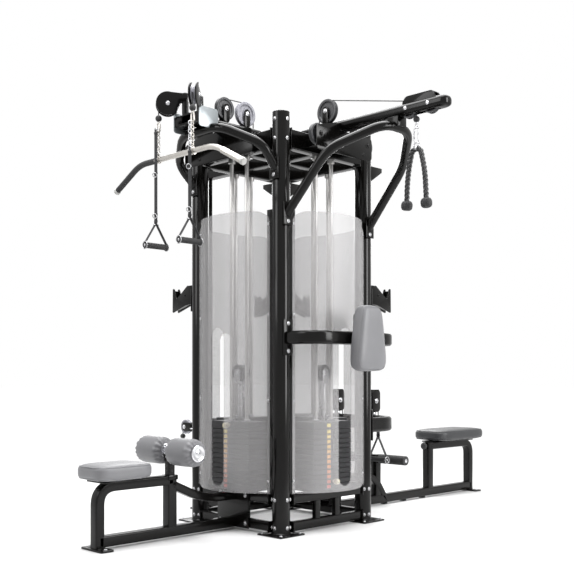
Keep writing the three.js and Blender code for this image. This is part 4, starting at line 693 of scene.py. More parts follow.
class GYM_OT_top_frame(bpy.types.Operator):
    """Builds the ring of beams between the posts and the cross inside it"""

    bl_idname = "gym.top_frame"
    bl_label = "Top frame"

    def execute(self, context):
        form = Form()
        for turn in range(4):
            side = [
                tube((-276, -328.25, 2067), (276, -328.25, 2067), 55.5, 100, 7, (0, 1, 0)),
                *mirror(lambda s: box((s * 272.7, s * 280.7), (-356, -300.5), (2009, 2125), 1.5)),
            ]
            form.add(side, matrix=Matrix.Rotation(turn * math.pi / 2, 4, "Z"))
        form.add(
            tube((-303, 0, 2067), (303, 0, 2067), 60, 60, 6, (0, 1, 0)),
            tube((0, -303, 2067), (0, 303, 2067), 60, 60, 6))
        form.place("top_ring", "pulldown", "tower", "frame", ["top_frame"])
        return {"FINISHED"}


def shroud_skin():
    """The curved sheet: a grid whose rows follow the outline and the slot, made thick."""
    tab, chord, bottom, top, corner = 285.0, 267.0, 213.0, 1688.0, 70.0
    root, apex, thick = 366.3, 485.0, 4.0
    slot_half, slot_low, slot_high = 50.0, 240.0, 1083.0
    sagitta = apex - root - thick
    radius = (chord ** 2 + sagitta ** 2) / (2 * sagitta)
    centre = apex - radius
    swing = math.asin(chord / radius)
    slot_columns = [slot_half * math.sin(math.pi / 2 * k / 8) for k in range(9)]
    wide = [radius * math.sin(swing * k / 24) for k in range(1, 24)]
    corners = [tab - corner * (1 - math.sin(math.pi / 2 * k / 8)) for k in range(9)]
    half = sorted(set(slot_columns + [x for x in wide if x > slot_half + 6 and x < tab - corner - 4] + corners + [chord]))
    columns = [-x for x in reversed(half) if x > 0] + half
    shape = bmesh.new()
    made = bmesh.ops.create_grid(shape, x_segments=len(columns) - 1, y_segments=3, size=0.5)["verts"]
    slot_faces = []
    for point in made:
        column = round((point.co.x + 0.5) * (len(columns) - 1))
        row = round((point.co.y + 0.5) * 3)
        x = columns[column]
        inside = max(0.0, slot_half ** 2 - x ** 2)
        over = max(0.0, abs(x) - (tab - corner))
        heights = [
            bottom, slot_low + slot_half - math.sqrt(inside), slot_high - slot_half + math.sqrt(inside),
            top - corner + math.sqrt(max(0.0, corner ** 2 - over ** 2))]
        bend = centre + math.sqrt(radius ** 2 - x ** 2) if abs(x) < chord else root + thick
        point.co = Vector((x, -bend, heights[row]))
    for face in shape.faces:
        middle = face.calc_center_median()
        if abs(middle.x) < slot_half and slot_low < middle.z < slot_high and all(
                slot_low - 1 < v.co.z < slot_high + 1 for v in face.verts):
            slot_faces.append(face)
    bmesh.ops.delete(shape, geom=slot_faces, context="FACES")
    bmesh.ops.remove_doubles(shape, verts=shape.verts[:], dist=0.01)
    if sum(face.normal.y for face in shape.faces) > 0:
        bmesh.ops.reverse_faces(shape, faces=shape.faces[:])
    shape.normal_update()
    bmesh.ops.solidify(shape, geom=shape.faces[:], thickness=thick)
    return shape


class GYM_OT_shrouds(bpy.types.Operator):
    """Builds the four frosted sheets in front of the weight stacks"""

    bl_idname = "gym.shrouds"
    bl_label = "Shrouds"

    def execute(self, context):
        for side in SIDES:
            Form(shroud_skin()).place(f"shroud_sheet_{side}", side, "tower", "shroud", [f"shroud_{side}"], smooth=25)
        return {"FINISHED"}


# ---------------------------------------------------------------------------------------------------
# Weight stacks
# ---------------------------------------------------------------------------------------------------

RESTING = {"pulldown": 12, "pushdown": 1, "row": 8, "column": 6}
STACK_OUT, STACK_FLOOR, PITCH, GROOVE, PLATES = 325.0, 219.0, 26.8, 1.6, 12
HEAD_LOW = STACK_FLOOR + PLATES * PITCH
HEAD_TOP = HEAD_LOW + 40
YOKE_AXLE = HEAD_TOP + 209 + 54


def weight_plate(low, high):
    """One plate with softened edges and the round hole for its pin."""
    shapes = [box((-152, 152), (-395, -255), (low, high), 3.5, 3)]
    middle = (low + high) / 2
    shapes.append(turned([
        (9, 0.2), (9, 1.4), (7, 1.4), (6.4, 0.6), (6.4, -3), (0, -3), (0, -4), (9, -4), (9, 0.2)],
        (0, -395, middle), (0, -1, 0), 20))
    return shapes


def pin_height(resting):
    if resting == PLATES:
        return HEAD_LOW + 20
    return STACK_FLOOR + resting * PITCH + (PITCH - GROOVE) / 2


def number_tags(side, rows, body, name):
    """A small coloured tag on the face of each plate, with its number."""
    shape = bmesh.new()
    layer = shape.faces.layers.float.new("share")
    for index, middle in rows:
        made = bmesh.ops.create_cube(
            shape, size=1,
            matrix=Matrix.Translation((-33, -395.5, middle)) @ Matrix.Diagonal((28, 1.4, 18, 1)))
        found = set(made["verts"])
        for face in shape.faces:
            if all(v in found for v in face.verts):
                face[layer] = index / PLATES
    form = Form(shape)
    return form.place(name, side, body, "tags", slot="knob")


class GYM_OT_stacks(bpy.types.Operator):
    """Builds the weight stacks with their guide rods, lifting stems and selector pins"""

    bl_idname = "gym.stacks"
    bl_label = "Weight stacks"

    def execute(self, context):
        for side, resting in RESTING.items():
            form = Form(box((-160, 160), (-395, -255), (211.3, 219), 1.5))
            for i in range(resting):
                low = STACK_FLOOR + i * PITCH
                form.add(weight_plate(low - 0.3 * (i == 0), low + PITCH - GROOVE))
            form.place(f"resting_plates_{side}", side, "tower", "plates", [f"stack_base_{side}"])
            rods = Form(mirror(lambda s: rod(11, (s * 61, -STACK_OUT, 211.3), (s * 61, -STACK_OUT, 2016.7), 28)))
            rods.add(mirror(lambda s: turned([
                (0, 0), (19, 0), (19, 20), (17, 22), (0, 22)], (s * 61, -STACK_OUT, 1994.5), (0, 0, 1), 28)))
            rods.place(f"guide_rods_{side}", side, "tower", "rods", slot="chrome")
            body = f"lift_{side}"
            lifted = Form()
            for i in range(resting, PLATES):
                low = STACK_FLOOR + i * PITCH
                lifted.add(weight_plate(low, low + PITCH - GROOVE))
            lifted.add(weight_plate(HEAD_LOW, HEAD_TOP))
            lifted.place(f"lifted_plates_{side}", side, body, "plates", [f"stack_lift_{side}"])
            stem = Form(
                rod(10, (0, -STACK_OUT, HEAD_TOP - 2), (0, -STACK_OUT, YOKE_AXLE - 46), 24),
                box((-22, 22), (-342, -308), (YOKE_AXLE - 57, YOKE_AXLE - 46), 1.5))
            for s in (1, -1):
                outline = rounded_outline(-22, 22, YOKE_AXLE - 57, YOKE_AXLE + 22, 20)
                stem.add(plate(outline, 6, "xz", s * 15 - STACK_OUT, 0.8))
                stem.add(bolt((0, s * 18 - STACK_OUT, YOKE_AXLE), (0, s, 0), 8))
                stem.add(turned([
                    (11.2, 0), (20, 0), (20, 9), (18, 11), (11.2, 11), (11.2, 0)],
                    (s * 61, -STACK_OUT, HEAD_TOP), (0, 0, 1), 28))
            stem.place(f"lifting_stem_{side}", side, body, "steel", slot="chrome")
            Form(wheel(45, 22, (0, -STACK_OUT, YOKE_AXLE), (0, 1, 0))).place(
                f"lifting_pulley_{side}", side, body, "pulley")
            z = pin_height(resting)
            pin = Form(turned([
                (0, 352), (4, 352), (5, 354), (5, 393), (9, 398), (9, 405), (12, 407), (15, 411), (16.5, 419),
                (16, 428), (13, 435), (7, 436.8), (0, 437)], (0, 0, z), (0, -1, 0), 32))
            pin.place(f"selector_knob_{side}", side, f"pin_{side}", "knob", [f"selector_pin_{side}"])
            low_rows = [(PLATES - i, STACK_FLOOR + i * PITCH + 12.6) for i in range(resting)]
            high_rows = [(PLATES - i, STACK_FLOOR + i * PITCH + 12.6) for i in range(resting, PLATES)]
            number_tags(side, low_rows, "tower", f"resting_tags_{side}")
            number_tags(side, high_rows + [(0, HEAD_LOW + 20)], body, f"lifted_tags_{side}")
        return {"FINISHED"}


# ---------------------------------------------------------------------------------------------------
# Overhead parts
# ---------------------------------------------------------------------------------------------------


def cheek_pair(out, axle_z, foot_z, crest=24.0):
    solids = []
    for s in (1, -1):
        outline = rounded_outline(-out - 20, -out + 20, foot_z - 3, axle_z + crest, 19)
        solids.append(plate(outline, 6, "yz", s * 18, 0.8))
        solids.append(rod(8, (0, -out, axle_z), (s * 21, -out, axle_z), 20))
    return solids


def spine_shape(root, reach):
    return sweep(
        [Vector((0, -root, 2159.5)), Vector((0, -reach, 2159.5))], box_section(78, 57, 24, 8), (1, 0, 0))


def arch_shape(points, bend):
    """A bent tube from post to post."""
    mirrored = [(-x, y, z) for x, y, z in reversed(points)]
    return pipe([*points, *mirrored], bend, 24, 28, 12)


def foot_plates(z, half_height=60.0):
    return mirror(lambda s: box(
        (s * HALF - 32, s * HALF + 32), (-POST_FACE - 8, -POST_FACE), (z - half_height, z + half_height), 2))


PIVOT_X, PIVOT_OUT = 60.0, 651.0
DROP_X, DROP_OUT = 140.0, 765.0
WHEEL_Z, WHEEL_RADIUS = 2250.0, 52.0
WHEEL_REACH = math.hypot(DROP_X - PIVOT_X, DROP_OUT - PIVOT_OUT) - WHEEL_RADIUS * 0.84 - 3.3
NECK_LOW, NECK_HIGH = 2268.0, 2304.0


def swivel_matrix(side):
    splay = math.degrees(math.atan2(DROP_X - PIVOT_X, DROP_OUT - PIVOT_OUT))
    return turned_about(side * PIVOT_X, -PIVOT_OUT, side * splay)


def yoke_shapes():
    """A swivelling yoke: a post on the boom and two teardrop cheeks that reach out to the wheel."""
    reach, nose = WHEEL_REACH, WHEEL_RADIUS + 10
    neck = [(8, NECK_LOW), (8, NECK_HIGH), (-12, NECK_HIGH + 2)]
    waist = [(-reach + nose * 0.78, WHEEL_Z - nose * 0.5), (-22, NECK_LOW - 5)]
    outline = neck + corner_arc(-reach, WHEEL_Z, nose, 74, 326, 30) + waist
    solids = []
    for s in (1, -1):
        solids.append(plate(outline, 6, "yz", s * 18, 1.2))
    solids.append(turned([
        (0, 2184), (22, 2184), (22, 2192), (18, 2196), (18, NECK_LOW - 2), (14.5, NECK_LOW), (14.5, NECK_HIGH - 2),
        (18, NECK_HIGH - 1), (18, NECK_HIGH + 4), (15, NECK_HIGH + 7), (0, NECK_HIGH + 8)], (0, 0, 0), (0, 0, 1), 36))
    solids.append(box((-16, 16), (-24, -8), (NECK_LOW + 4, NECK_HIGH - 4), 3))
    solids.append(rod(8, (-21, -reach, WHEEL_Z), (21, -reach, WHEEL_Z), 24))
    return solids


class GYM_OT_pulldown_overhead(bpy.types.Operator):
    """Builds the pulldown boom with its arch, yokes, pulleys, cables, bar and hanging handles"""

    bl_idname = "gym.pulldown_overhead"
    bl_label = "Pulldown overhead"

    def execute(self, context):
        side = "pulldown"
        form = Form(
            spine_shape(190, 690),
            sweep([Vector((-100, -649, 2159.5)), Vector((100, -649, 2159.5))], box_section(82, 57, 10, 5), (0, 1, 0)),
            box((-39, 39), (-356, -300.5), (2117.3, 2140), 2),
            arch_shape([(HALF, -POST_FACE + 3, 1905), (344, -470, 2008), (150, -600, 2110)], 70),
            foot_plates(1905), cheek_pair(282, 2262, 2188), cheek_pair(432, 2262, 2188))
        for s in (1, -1):
            form.add(yoke_shapes(), matrix=swivel_matrix(s))
        form.place("pulldown_boom", side, "tower", "frame", ["pulldown_overhead"])
        axles = Form()
        for out in (282, 432):
            axles.add(mirror(lambda s: bolt((s * 21, -out, 2262), (s, 0, 0), 9)))
        for s in (1, -1):
            caps = [bolt((t * 21, -WHEEL_REACH, WHEEL_Z), (t, 0, 0), 8) for t in (1, -1)]
            axles.add(caps, matrix=swivel_matrix(s))
        axles.place("pulldown_axles", side, "tower", "chrome")
        ends = Form()
        for s in (1, -1):
            ends.add(plate(rounded_outline(-694, -566, 2104, 2209, 16), 5, "yz", s * 103, 1.2))
        ends.place("pulldown_head_plates", side, "tower", "zinc", slot="chrome")
        Form(wheel(61, 24, (0, -432, 2262), (1, 0, 0))).place("second_pulley", side, "tower", "pulley")
        Form(wheel(67, 24, (0, -282, 2262), (1, 0, 0), 8.3)).place(
            "first_pulley", side, "wheel_top_pulldown", "pale_pulley", ["top_pulley_pulldown"])
        for s, name in ((-1, "left"), (1, "right")):
            Form().add(wheel(WHEEL_RADIUS, 24, (0, -WHEEL_REACH, WHEEL_Z), (1, 0, 0), 8.3), matrix=swivel_matrix(s)).place(
                f"yoke_pulley_{name}", side, f"wheel_{name}", "pale_pulley", [f"pulldown_pulley_{name}"])
        over = Form(cable_over((282, 2262, 60.78), (432, 2262, 55.74), 2188.3))
        over.place("pulldown_cable", side, "tower", "cable", ["cable_pulldown"])
        for s, name in ((-1, "left"), (1, "right")):
            drop = Form(sweep([Vector((s * 140, -765, 2189.3 + (2250 - 2189.3) * i / 8)) for i in range(9)],
                              round_section(3, 16)))
            piece = drop.place(f"hanging_cable_{name}", side, None, "cable", [f"cable_drop_{name}"])
            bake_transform(piece)
        return self.bar(side)

    def bar(self, side):
        y = -765
        ends = [(-512, y, 1845), (-305, y, 1955), (305, y, 1955), (512, y, 1845)]
        shaft = Form(pipe(ends, 60, 14, 28, 12))
        shaft.place("pulldown_shaft", side, "bar", "satin", ["pulldown_bar"], slot="chrome")
        black = rounded_line([(-166, y, 1955), (-305, y, 1955), (-508, y, 1847)], 60, 12)
        cover = Form(sweep(black, round_section(15.4, 28)))
        for i in range(2, len(resample(black, 14)) - 1):
            at = resample(black, 14)[i]
            cover.add(ring(13.8, 2.1, at, resample(black, 14)[i + 1] - at, 24))
        cover.place("pulldown_grip", side, "bar", "rubber", slot="strap")
        sleeves, caps = Form(), Form()
        down = Vector((207, 0, -110)).normalized()
        start, end = Vector((367, y, 1922)), Vector((512, y, 1845))
        length = (end - start).length
        profile = [(14, 0), (16.2, 0.5), (17, 3)]
        for k in range(36):
            at = 5 + (length - 10) * k / 36
            profile += [(16.8, at), (16.1, at + 1.2), (16.1, at + 2.2), (16.8, at + 3.2)]
        profile += [(17, length - 2), (14, length), (14, 0)]
        sleeves.add(turned(profile, start, end - start, 28))
        sleeves.place("pulldown_sleeve", side, "bar", "satin", slot="chrome")
        for s in (1, -1):
            along = Vector((s * down.x, 0, down.z))
            caps.add(turned([
                (0, -6), (17.5, -6), (18.5, -4), (18.5, 10), (15, 14), (0, 14.5)], (s * 512, y, 1845), along, 28))
        caps.place("pulldown_bar_caps", side, "bar", "cap", slot="knob")
        chain = Form()
        for s in (1, -1):
            x = s * 140
            chain.add(turned([
                (14.2, -13), (18, -13), (19, -11), (19, 11), (18, 13), (14.2, 13), (14.2, -13)],
                (x, y, 1955), (1, 0, 0), 32))
            chain.add(box((x - 5, x + 5), (y - 4, y + 4), (1971, 1984), 2))
            chain.add(chain_links((x, y, 1970), 2102))
            hook = sweep(
                rounded_line([(x - 11, y, 2101), (x - 11, y, 2146), (x + 11, y, 2146), (x + 11, y, 2101), (x - 10, y, 2099)],
                             10, 6), round_section(3.8, 14), (0, 1, 0))
            chain.add(hook, rod(5, (x + 11, y, 2108), (x + 11, y, 2136), 20))
            chain.add(ring(7, 2.4, (x, y, 2153), (0, 1, 0)), rod(5, (x, y, 2158), (x, y, 2175), 20))
            chain.add(rod(5, (x, y, 2104), (x, -782, 2104), 20))
        chain.place("pulldown_chains", side, "bar", "satin", slot="chrome")
        stops = Form(mirror(lambda s: ball(17, (s * 140, y, 2172))))
        stops.place("pulldown_stops", side, "bar", "rubber", slot="strap")
        for s, name in ((-1, "left"), (1, "right")):
            stirrup(
                side, f"handle_{name}", f"pulldown_handle_{name}", (s * 140, -783), 1612, 2112, 1503,
                chain_low=1968 if s > 0 else None, turn=90)
        return {"FINISHED"}


def stirrup(side, body, node, at, strap_low, strap_top, grip_z, cord_top=None, chain_low=None, turn=0):
    """A stirrup handle: webbing with rings sewn in, two slanted sides and a ribbed grip between cups."""
    x, y = at
    move = Matrix.Translation((x, y, 0))
    below = move @ Matrix.Rotation(math.radians(turn), 4, "Z")
    web, metal = Form(), Form()
    web_top = chain_low if chain_low else strap_top
    count = 24
    line = [Vector((0, 0, strap_low - 3 + (web_top - strap_low + 3) * i / count)) for i in range(count + 1)]
    web.add(sweep(line, box_section(24, 3.6, 1.2, 2)), matrix=move)
    spots = [strap_low + 20, strap_low + 56, 1882, web_top - 18] if strap_top - strap_low > 100 else [strap_low + 20]
    for z in spots:
        web.add(box((-12.6, 12.6), (-2.8, 2.8), (z - 6, z + 6), 0.8), matrix=move)
        if strap_low + 40 < z < web_top - 40:
            metal.add(ring(12, 2.3, (0, -7, z - 8), (-0.5, 1, 0.35)), matrix=move)
    for s in (1, -1):
        leg = [Vector((s * 5, 0, strap_low + 4)), Vector((s * 12, 0, strap_low - 8)), Vector((s * 69, 0, grip_z + 12))]
        web.add(sweep(leg, box_section(3.2, 18, 1.2, 2), (s, 0, 0.5)), matrix=below)
        metal.add(ring(19.5, 2.2, (s * 69.6, 0, grip_z), (s, 0, 0), 40), matrix=below)
        metal.add(bolt((s * 70, 0, grip_z), (s, 0, 0), 5), matrix=below)
    metal.add(ring(11, 2.4, (0, 0, web_top - 3), (0, 1, 0)), matrix=move)
    metal.add(rod(5, (-15, 0, strap_low + 2), (15, 0, strap_low + 2), 20), matrix=below)
    if chain_low:
        metal.add(chain_links((0, 0, chain_low + 8), strap_top - 8), matrix=move)
    web.place(f"{node}_strap", side, body, "strap", [node])
    metal.place(f"{node}_metal", side, body, "steel", slot="chrome")
    grip = Form()
    profile = [(0, -70), (19, -70), (19.5, -68), (17, -62)]
    for k in range(15):
        start = -58 + k * 7.7
        profile += [(15.4, start), (14.3, start + 1.6), (14.3, start + 4), (15.4, start + 5.6)]
    profile += [(17, 62), (19.5, 68), (19, 70), (0, 70)]
    grip.add(turned(profile, (0, 0, grip_z), (1, 0, 0), 30), matrix=below)
    grip.place(f"{node}_grip", side, body, "rubber", slot="strap")
    if cord_top:
        cord = Form()
        cord.add(rod(3, (0, 0, strap_top - 3), (0, 0, cord_top), 16), ball(13.6, (0, 0, strap_top)), matrix=move)
        cord.place(f"{node}_cord", side, body, "cable")


def chain_links(start, top, wire=2.6, half=7.5, reach=12.5):
    """Welded links, each at right angles to the last."""
    x, y, z = start
    count = max(1, round((top - z) / (2 * reach - 2 * wire)))
    step = (top - z) / count
    links = []
    for k in range(count):
        link = ring(half, wire, (0, 0, 0), (1, 0, 0) if k % 2 else (0, 1, 0), 24)
        stretch = (step / 2 + wire) / (half + wire)
        for point in link.verts:
            lift = (stretch - 1) * half
            point.co.z += lift if point.co.z > 0.01 else -lift if point.co.z < -0.01 else 0
        link.transform(Matrix.Translation((x, y, z + step * (k + 0.5))))
        links.append(link)
    return links


def cable_over(first, second, end_z, floor_z=2097.3):
    """A cable up from the top frame, round the tops of two pulleys and down again."""
    out1, z1, r1 = first
    out2, z2, r2 = second
    run, fall = out2 - out1, z1 - z2
    slope = math.atan2(fall, run) + math.asin((r1 - r2) / math.hypot(run, fall))
    line = [Vector((0, r1 - out1, floor_z))]
    steps = 16
    for k in range(steps + 1):
        angle = (math.pi / 2 + slope) * k / steps
        line.append(Vector((0, r1 * math.cos(angle) - out1, z1 + r1 * math.sin(angle))))
    for k in range(steps + 1):
        angle = math.pi / 2 + slope + (math.pi / 2 - slope) * k / steps
        line.append(Vector((0, r2 * math.cos(angle) - out2, z2 + r2 * math.sin(angle))))
    line.append(Vector((0, -out2 - r2, end_z)))
    return sweep(line, round_section(3, 16))


class GYM_OT_pushdown_overhead(bpy.types.Operator):
    """Builds the pushdown boom with its arch, guard, pulleys, cable and rope"""

    bl_idname = "gym.pushdown_overhead"
    bl_label = "Pushdown overhead"

    def execute(self, context):
        side = "pushdown"
        form = Form(
            spine_shape(190, 868),
            box((-39, 39), (-356, -300.5), (2117.3, 2140), 2),
            arch_shape([(HALF, -POST_FACE + 3, 1667), (305, -634, 1960), (100, -831, 2087)], 80),
            foot_plates(1667), box((-35, 35), (-866, -796), (2085, 2136), 4), cheek_pair(356, 2262, 2188))
        tip = [-870, -1096, -1118, -1132, -1142, -1148, -1150]
        sizes = [1, 1, 0.98, 0.92, 0.8, 0.55, 0.2]
        form.add(sweep(
            [Vector((0, y, 2159.5)) for y in tip[1:]], box_section(78, 57, 24, 8), (1, 0, 0), sizes[1:]))
        for s in (1, -1):
            rail = [(s * x, z) for x, z in half_section(78, 57, 24, 15)]
            form.add(sweep([Vector((0, -866, 2159.5)), Vector((0, -1098, 2159.5))], rail, (1, 0, 0)))
            outline = [
                (-1085, 2184), (-885, 2184), (-886, 2196), (-902, 2217), (-916, 2222), (-1054, 2222), (-1070, 2217),
                (-1084, 2196)]
            form.add(plate(outline, 5, "yz", s * 24.5, 1))
        form.add(box((-26, 26), (-1062, -908), (2215, 2222), 2))
        form.place("pushdown_boom", side, "tower", "frame", ["pushdown_overhead"])
        axles = Form()
        for out in (912, 1048):
            axles.add(mirror(lambda s: bolt((s * 39, -out, 2160), (s, 0, 0), 7)))
        axles.add(mirror(lambda s: bolt((s * 21, -356, 2262), (s, 0, 0), 9)))
        axles.place("pushdown_axles", side, "tower", "chrome")
        Form(wheel(67, 24, (0, -356, 2262), (1, 0, 0), 8.3)).place(
            "boom_root_pulley", side, "wheel_top_pushdown", "pulley", ["top_pulley_pushdown"])
        for name, out in (("inner", 912), ("outer", 1048)):
            Form(wheel(45, 24, (0, -out, 2160), (1, 0, 0), 8.3)).place(
                f"boom_wheel_{name}", side, f"wheel_boom_{name}", "pulley", [f"boom_pulley_{name}"])
        over = Form(cable_over((356, 2262, 60.78), (912, 2160, 42.3), 2138))
        over.place("pushdown_cable", side, "tower", "cable", ["cable_pushdown"])
        drop = Form(sweep([Vector((0, -954.3, 2120.3 + 17.4 * i / 6)) for i in range(7)], round_section(3, 16)))
        piece = drop.place("hanging_cable_pushdown", side, None, "cable", ["cable_drop_pushdown"])
        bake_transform(piece)
        return self.rope(side)

    def rope(self, side):
        y = -954.3
        stop = Form(ball(16, (0, y, 2104)))
        stop.place("rope_stop", side, "rope", "rubber", slot="strap")
        hook = Form(sweep(
            rounded_line([(0, y - 12, 1996), (0, y - 12, 2062), (0, y + 12, 2062), (0, y + 12, 1994), (0, y - 11, 1991)],
                         11, 6), round_section(4.4, 16), (1, 0, 0)))
        hook.add(rod(5.6, (0, y + 12, 2008), (0, y + 12, 2044), 20), ring(8, 3, (0, y, 2072), (1, 0, 0)))
        hook.add(rod(5.5, (0, y, 2078), (0, y, 2100), 20))
        hook.place("rope_hook", side, "rope", "steel", slot="chrome")
        clamp = Form(ring(15, 4.5, (0, y, 1974), (1, 0, 0)))
        clamp.add(turned([(10, -9), (13, -9), (14, -7), (14, 7), (13, 9), (10, 9), (10, -9)], (0, y, 1960), (0, 1, 0), 24))
        clamp.place("rope_ring", side, "rope", "steel", slot="chrome")
        path = resample(rounded_line([
            (0, y - 60, 1694), (0, y - 52, 1840), (0, y - 24, 1957), (0, y + 24, 1957), (0, y + 56, 1840),
            (0, y + 60, 1694)], [150, 34, 34, 150], 12), 4.0)
        middle = len(path) // 2
        for s, name, leg in ((-1, "outer", path[middle::-1]), (1, "inner", path[middle:])):
            yarn = Form(self.strand(leg)).place(f"rope_leg_{name}", side, "rope", "rope", ["pushdown_rope"])
            end = Form(turned([
                (0, -24), (17, -24), (24, -20), (28, -12), (29, 0), (28, 10), (23, 19), (16, 23), (13, 24), (0, 24)],
                (0, y + s * 60, 1682), (0, -s * 0.1, 1), 36))
            knob = end.place(f"rope_end_{name}", side, "rope", "rubber", slot="strap")
        return {"FINISHED"}

    def strand(self, dense):
        """Three yarns laid round each other along the leg."""
        shapes = []
        for k in range(3):
            points = []
            for i, point in enumerate(dense):
                tangent = (dense[min(i + 1, len(dense) - 1)] - dense[max(i - 1, 0)]).normalized()
                across = Vector((1, 0, 0))
                up = tangent.cross(across)
                angle = 2 * math.pi * (k / 3 + i * 4.0 / 66)
                points.append(point + (across * math.cos(angle) + up * math.sin(angle)) * 6.6)
            shapes.append(sweep(points, round_section(7.2, 12)))
        return shapes


def resample(line, step):
    """Points at even distances along a line."""
    lengths = [0.0]
    for a, b in zip(line, line[1:]):
        lengths.append(lengths[-1] + (b - a).length)
    count = max(2, int(lengths[-1] / step))
    points = []
    k = 0
    for i in range(count + 1):
        at = lengths[-1] * i / count
        while k < len(line) - 2 and lengths[k + 1] < at:
            k += 1
        gap = lengths[k + 1] - lengths[k]
        share = (at - lengths[k]) / gap if gap > 1e-9 else 0.0
        points.append(line[k].lerp(line[k + 1], share))
    return points


class GYM_OT_fascias(bpy.types.Operator):
    """Builds the curved plates in front of the top frame, with the pulleys behind them"""

    bl_idname = "gym.fascias"
    bl_label = "Fascia plates"

    def execute(self, context):
        for side, low, half in (("pulldown", 1975.0, 275.0), ("pushdown", 2004.0, 222.0)):
            high = low + 121
            crown = [(41, high + 45)]
            for k in range(1, 9):
                t = k / 8
                x = (1 - t) * ((1 - t) * 0 + t * half / 3) + t * ((1 - t) * half / 3 + t * (half - 26))
                z = (1 - t) ** 2 * (high + 45) + 2 * t * (1 - t) * (high + 45) + t * t * (high + 9)
                if x > 46:
                    crown.append((x, z))
            outline = crown + corner_arc(half - 26, high - 17, 26, 75, 0, 6) + corner_arc(
                half - 26, low + 26, 26, 0, -90, 6)
            mirrored = [(-x, z) for x, z in reversed(outline)]
            notch = [(-40, 2130), (40, 2130)]
            form = Form(plate(outline + mirrored + notch, 5, "xz", -480, 1))
            form.add(mirror(lambda s: tube((s * 150, -480, low + 56), (s * 150, -356.3, low + 56), 28, 40, 5)))
            form.place(f"fascia_plate_{side}", side, "tower", "frame", [f"fascia_{side}"])
            wheels = Form(mirror(lambda s: wheel(56, 22, (s * 190, -457, low + 84), (0, 1, 0))))
            wheels.place(f"fascia_wheels_{side}", side, "tower", "pulley")
            bolts = Form(mirror(lambda s: bolt((s * 190, -482.5, low + 84), (0, -1, 0), 10)))
            bolts.add(mirror(lambda s: bolt((s * 150, -482.5, low + 30), (0, -1, 0), 7)))
            bolts.add(mirror(lambda s: rod(8, (s * 190, -482, low + 84), (s * 190, -446, low + 84))))
            bolts.place(f"fascia_bolts_{side}", side, "tower", "frame")
        return {"FINISHED"}


# ---------------------------------------------------------------------------------------------------
# Bows, pads and benches
# ---------------------------------------------------------------------------------------------------


def bow_shape(out, low, high, width, bend):
    line = rounded_line([(-HALF, -POST_FACE, 0), (-HALF, -out, 0), (HALF, -out, 0), (HALF, -POST_FACE, 0)], bend, 14)
    for point in line:
        point.z = (low + high) / 2
    return sweep(line, box_section(width, high - low, min(width, high - low) * 0.42, 8), (1, 0, 0))


def swell(width, depth, height, plan=5.0, rim=2.6, cuts=20, taper=0.0):
    """A cushion's plain form: its plan is a rounded rectangle, its rim is softly rounded."""
    shape = bmesh.new()
    bmesh.ops.create_cube(shape, size=2)
    bmesh.ops.subdivide_edges(shape, edges=shape.edges[:], cuts=cuts, use_grid_fill=True)
    for point in shape.verts:
        u, v, w = point.co
        reach = (abs(u) ** plan + abs(v) ** plan) ** (1 / plan)
        radius = (reach ** rim + abs(w) ** rim) ** (1 / rim)
        narrow = 1 - taper * (v / radius + 1) / 2
        point.co = Vector((u / radius * narrow * width / 2, v / radius * depth / 2, w / radius * height / 2))
    return shape


def piping(width, depth, z, radius=2.2, power=5.0, taper=0.0, sides=96):
    """The sewn cord round a cushion's edge."""
    line = []
    for i in range(sides + 1):
        angle = 2 * math.pi * i / sides
        c, s = math.cos(angle), math.sin(angle)
        reach = (abs(c) ** power + abs(s) ** power) ** (-1 / power)
        v = s * reach
        narrow = 1 - taper * (v + 1) / 2
        line.append(Vector((c * reach * narrow * width / 2, v * depth / 2, z)))
    return line


def closed_sweep(line, radius, sides=8):
    """A closed cord along a flat loop whose last point repeats the first."""
    shape = bmesh.new()
    loops = []
    count = len(line) - 1
    for i in range(count):
        tangent = (line[(i + 1) % count] - line[(i - 1) % count]).normalized()
        up = Vector((0, 0, 1))
        across = tangent.cross(up).normalized()
        loops.append([shape.verts.new(
            line[i] + across * radius * math.cos(2 * math.pi * k / sides) + up * radius * math.sin(2 * math.pi * k / sides))
            for k in range(sides)])
    edges = [[shape.edges.new((loop[k], loop[(k + 1) % sides])) for k in range(sides)] for loop in loops]
    for i in range(count):
        bmesh.ops.bridge_loops(shape, edges=edges[i] + edges[(i + 1) % count])
    return shape


def cushion(name, side, body, finish, nodes, size, matrix, taper=0.0, plan=5.0, rim=4.2):
    """An upholstered pad: crowned cover and piping along its two seams."""
    width, depth, height = size
    form = Form()
    cover = swell(width - 4, depth - 4, height, plan, rim, 30, taper)
    for point in cover.verts:
        puff = noise.noise(point.co * 0.012) * 1.2
        point.co += point.co.normalized() * puff
    form.add(cover, matrix=matrix)
    for share in (0.34, -0.34):
        inset = 4 + 2 * (1 - (1 - (2 * abs(share)) ** rim) ** (1 / rim)) * min(width, depth) / 2
        line = piping(width - inset, depth - inset, share * height, 2.2, plan, taper)
        form.add(closed_sweep(line, 1.8), matrix=matrix)
    piece = form.place(name, side, body, finish, nodes, smooth=60)
    return piece


class GYM_OT_pad(bpy.types.Operator):
    """Builds the bow of the pushdown side and the pad that the back leans on"""

    bl_idname = "gym.pad"
    bl_label = "Back pad"

    def execute(self, context):
        side = "pushdown"
        form = Form(bow_shape(571, 990, 1060, 40, 130), foot_plates(1027.5, 92.5))
        form.add(plate(rounded_outline(-60, 60, 900, 1150, 12), 9, "xz", -595.5, 1))
        form.place("pad_bow_tube", side, "tower", "frame", ["pad_bow"])
        upright = Matrix.Translation((0, -600 - 43.5, 850 + 173)) @ Matrix.Rotation(math.pi / 2, 4, "X")
        cushion("back_cushion", side, "tower", "vinyl", ["back_pad"], (248, 346, 87), upright, 1 - 155 / 248)
        return {"FINISHED"}


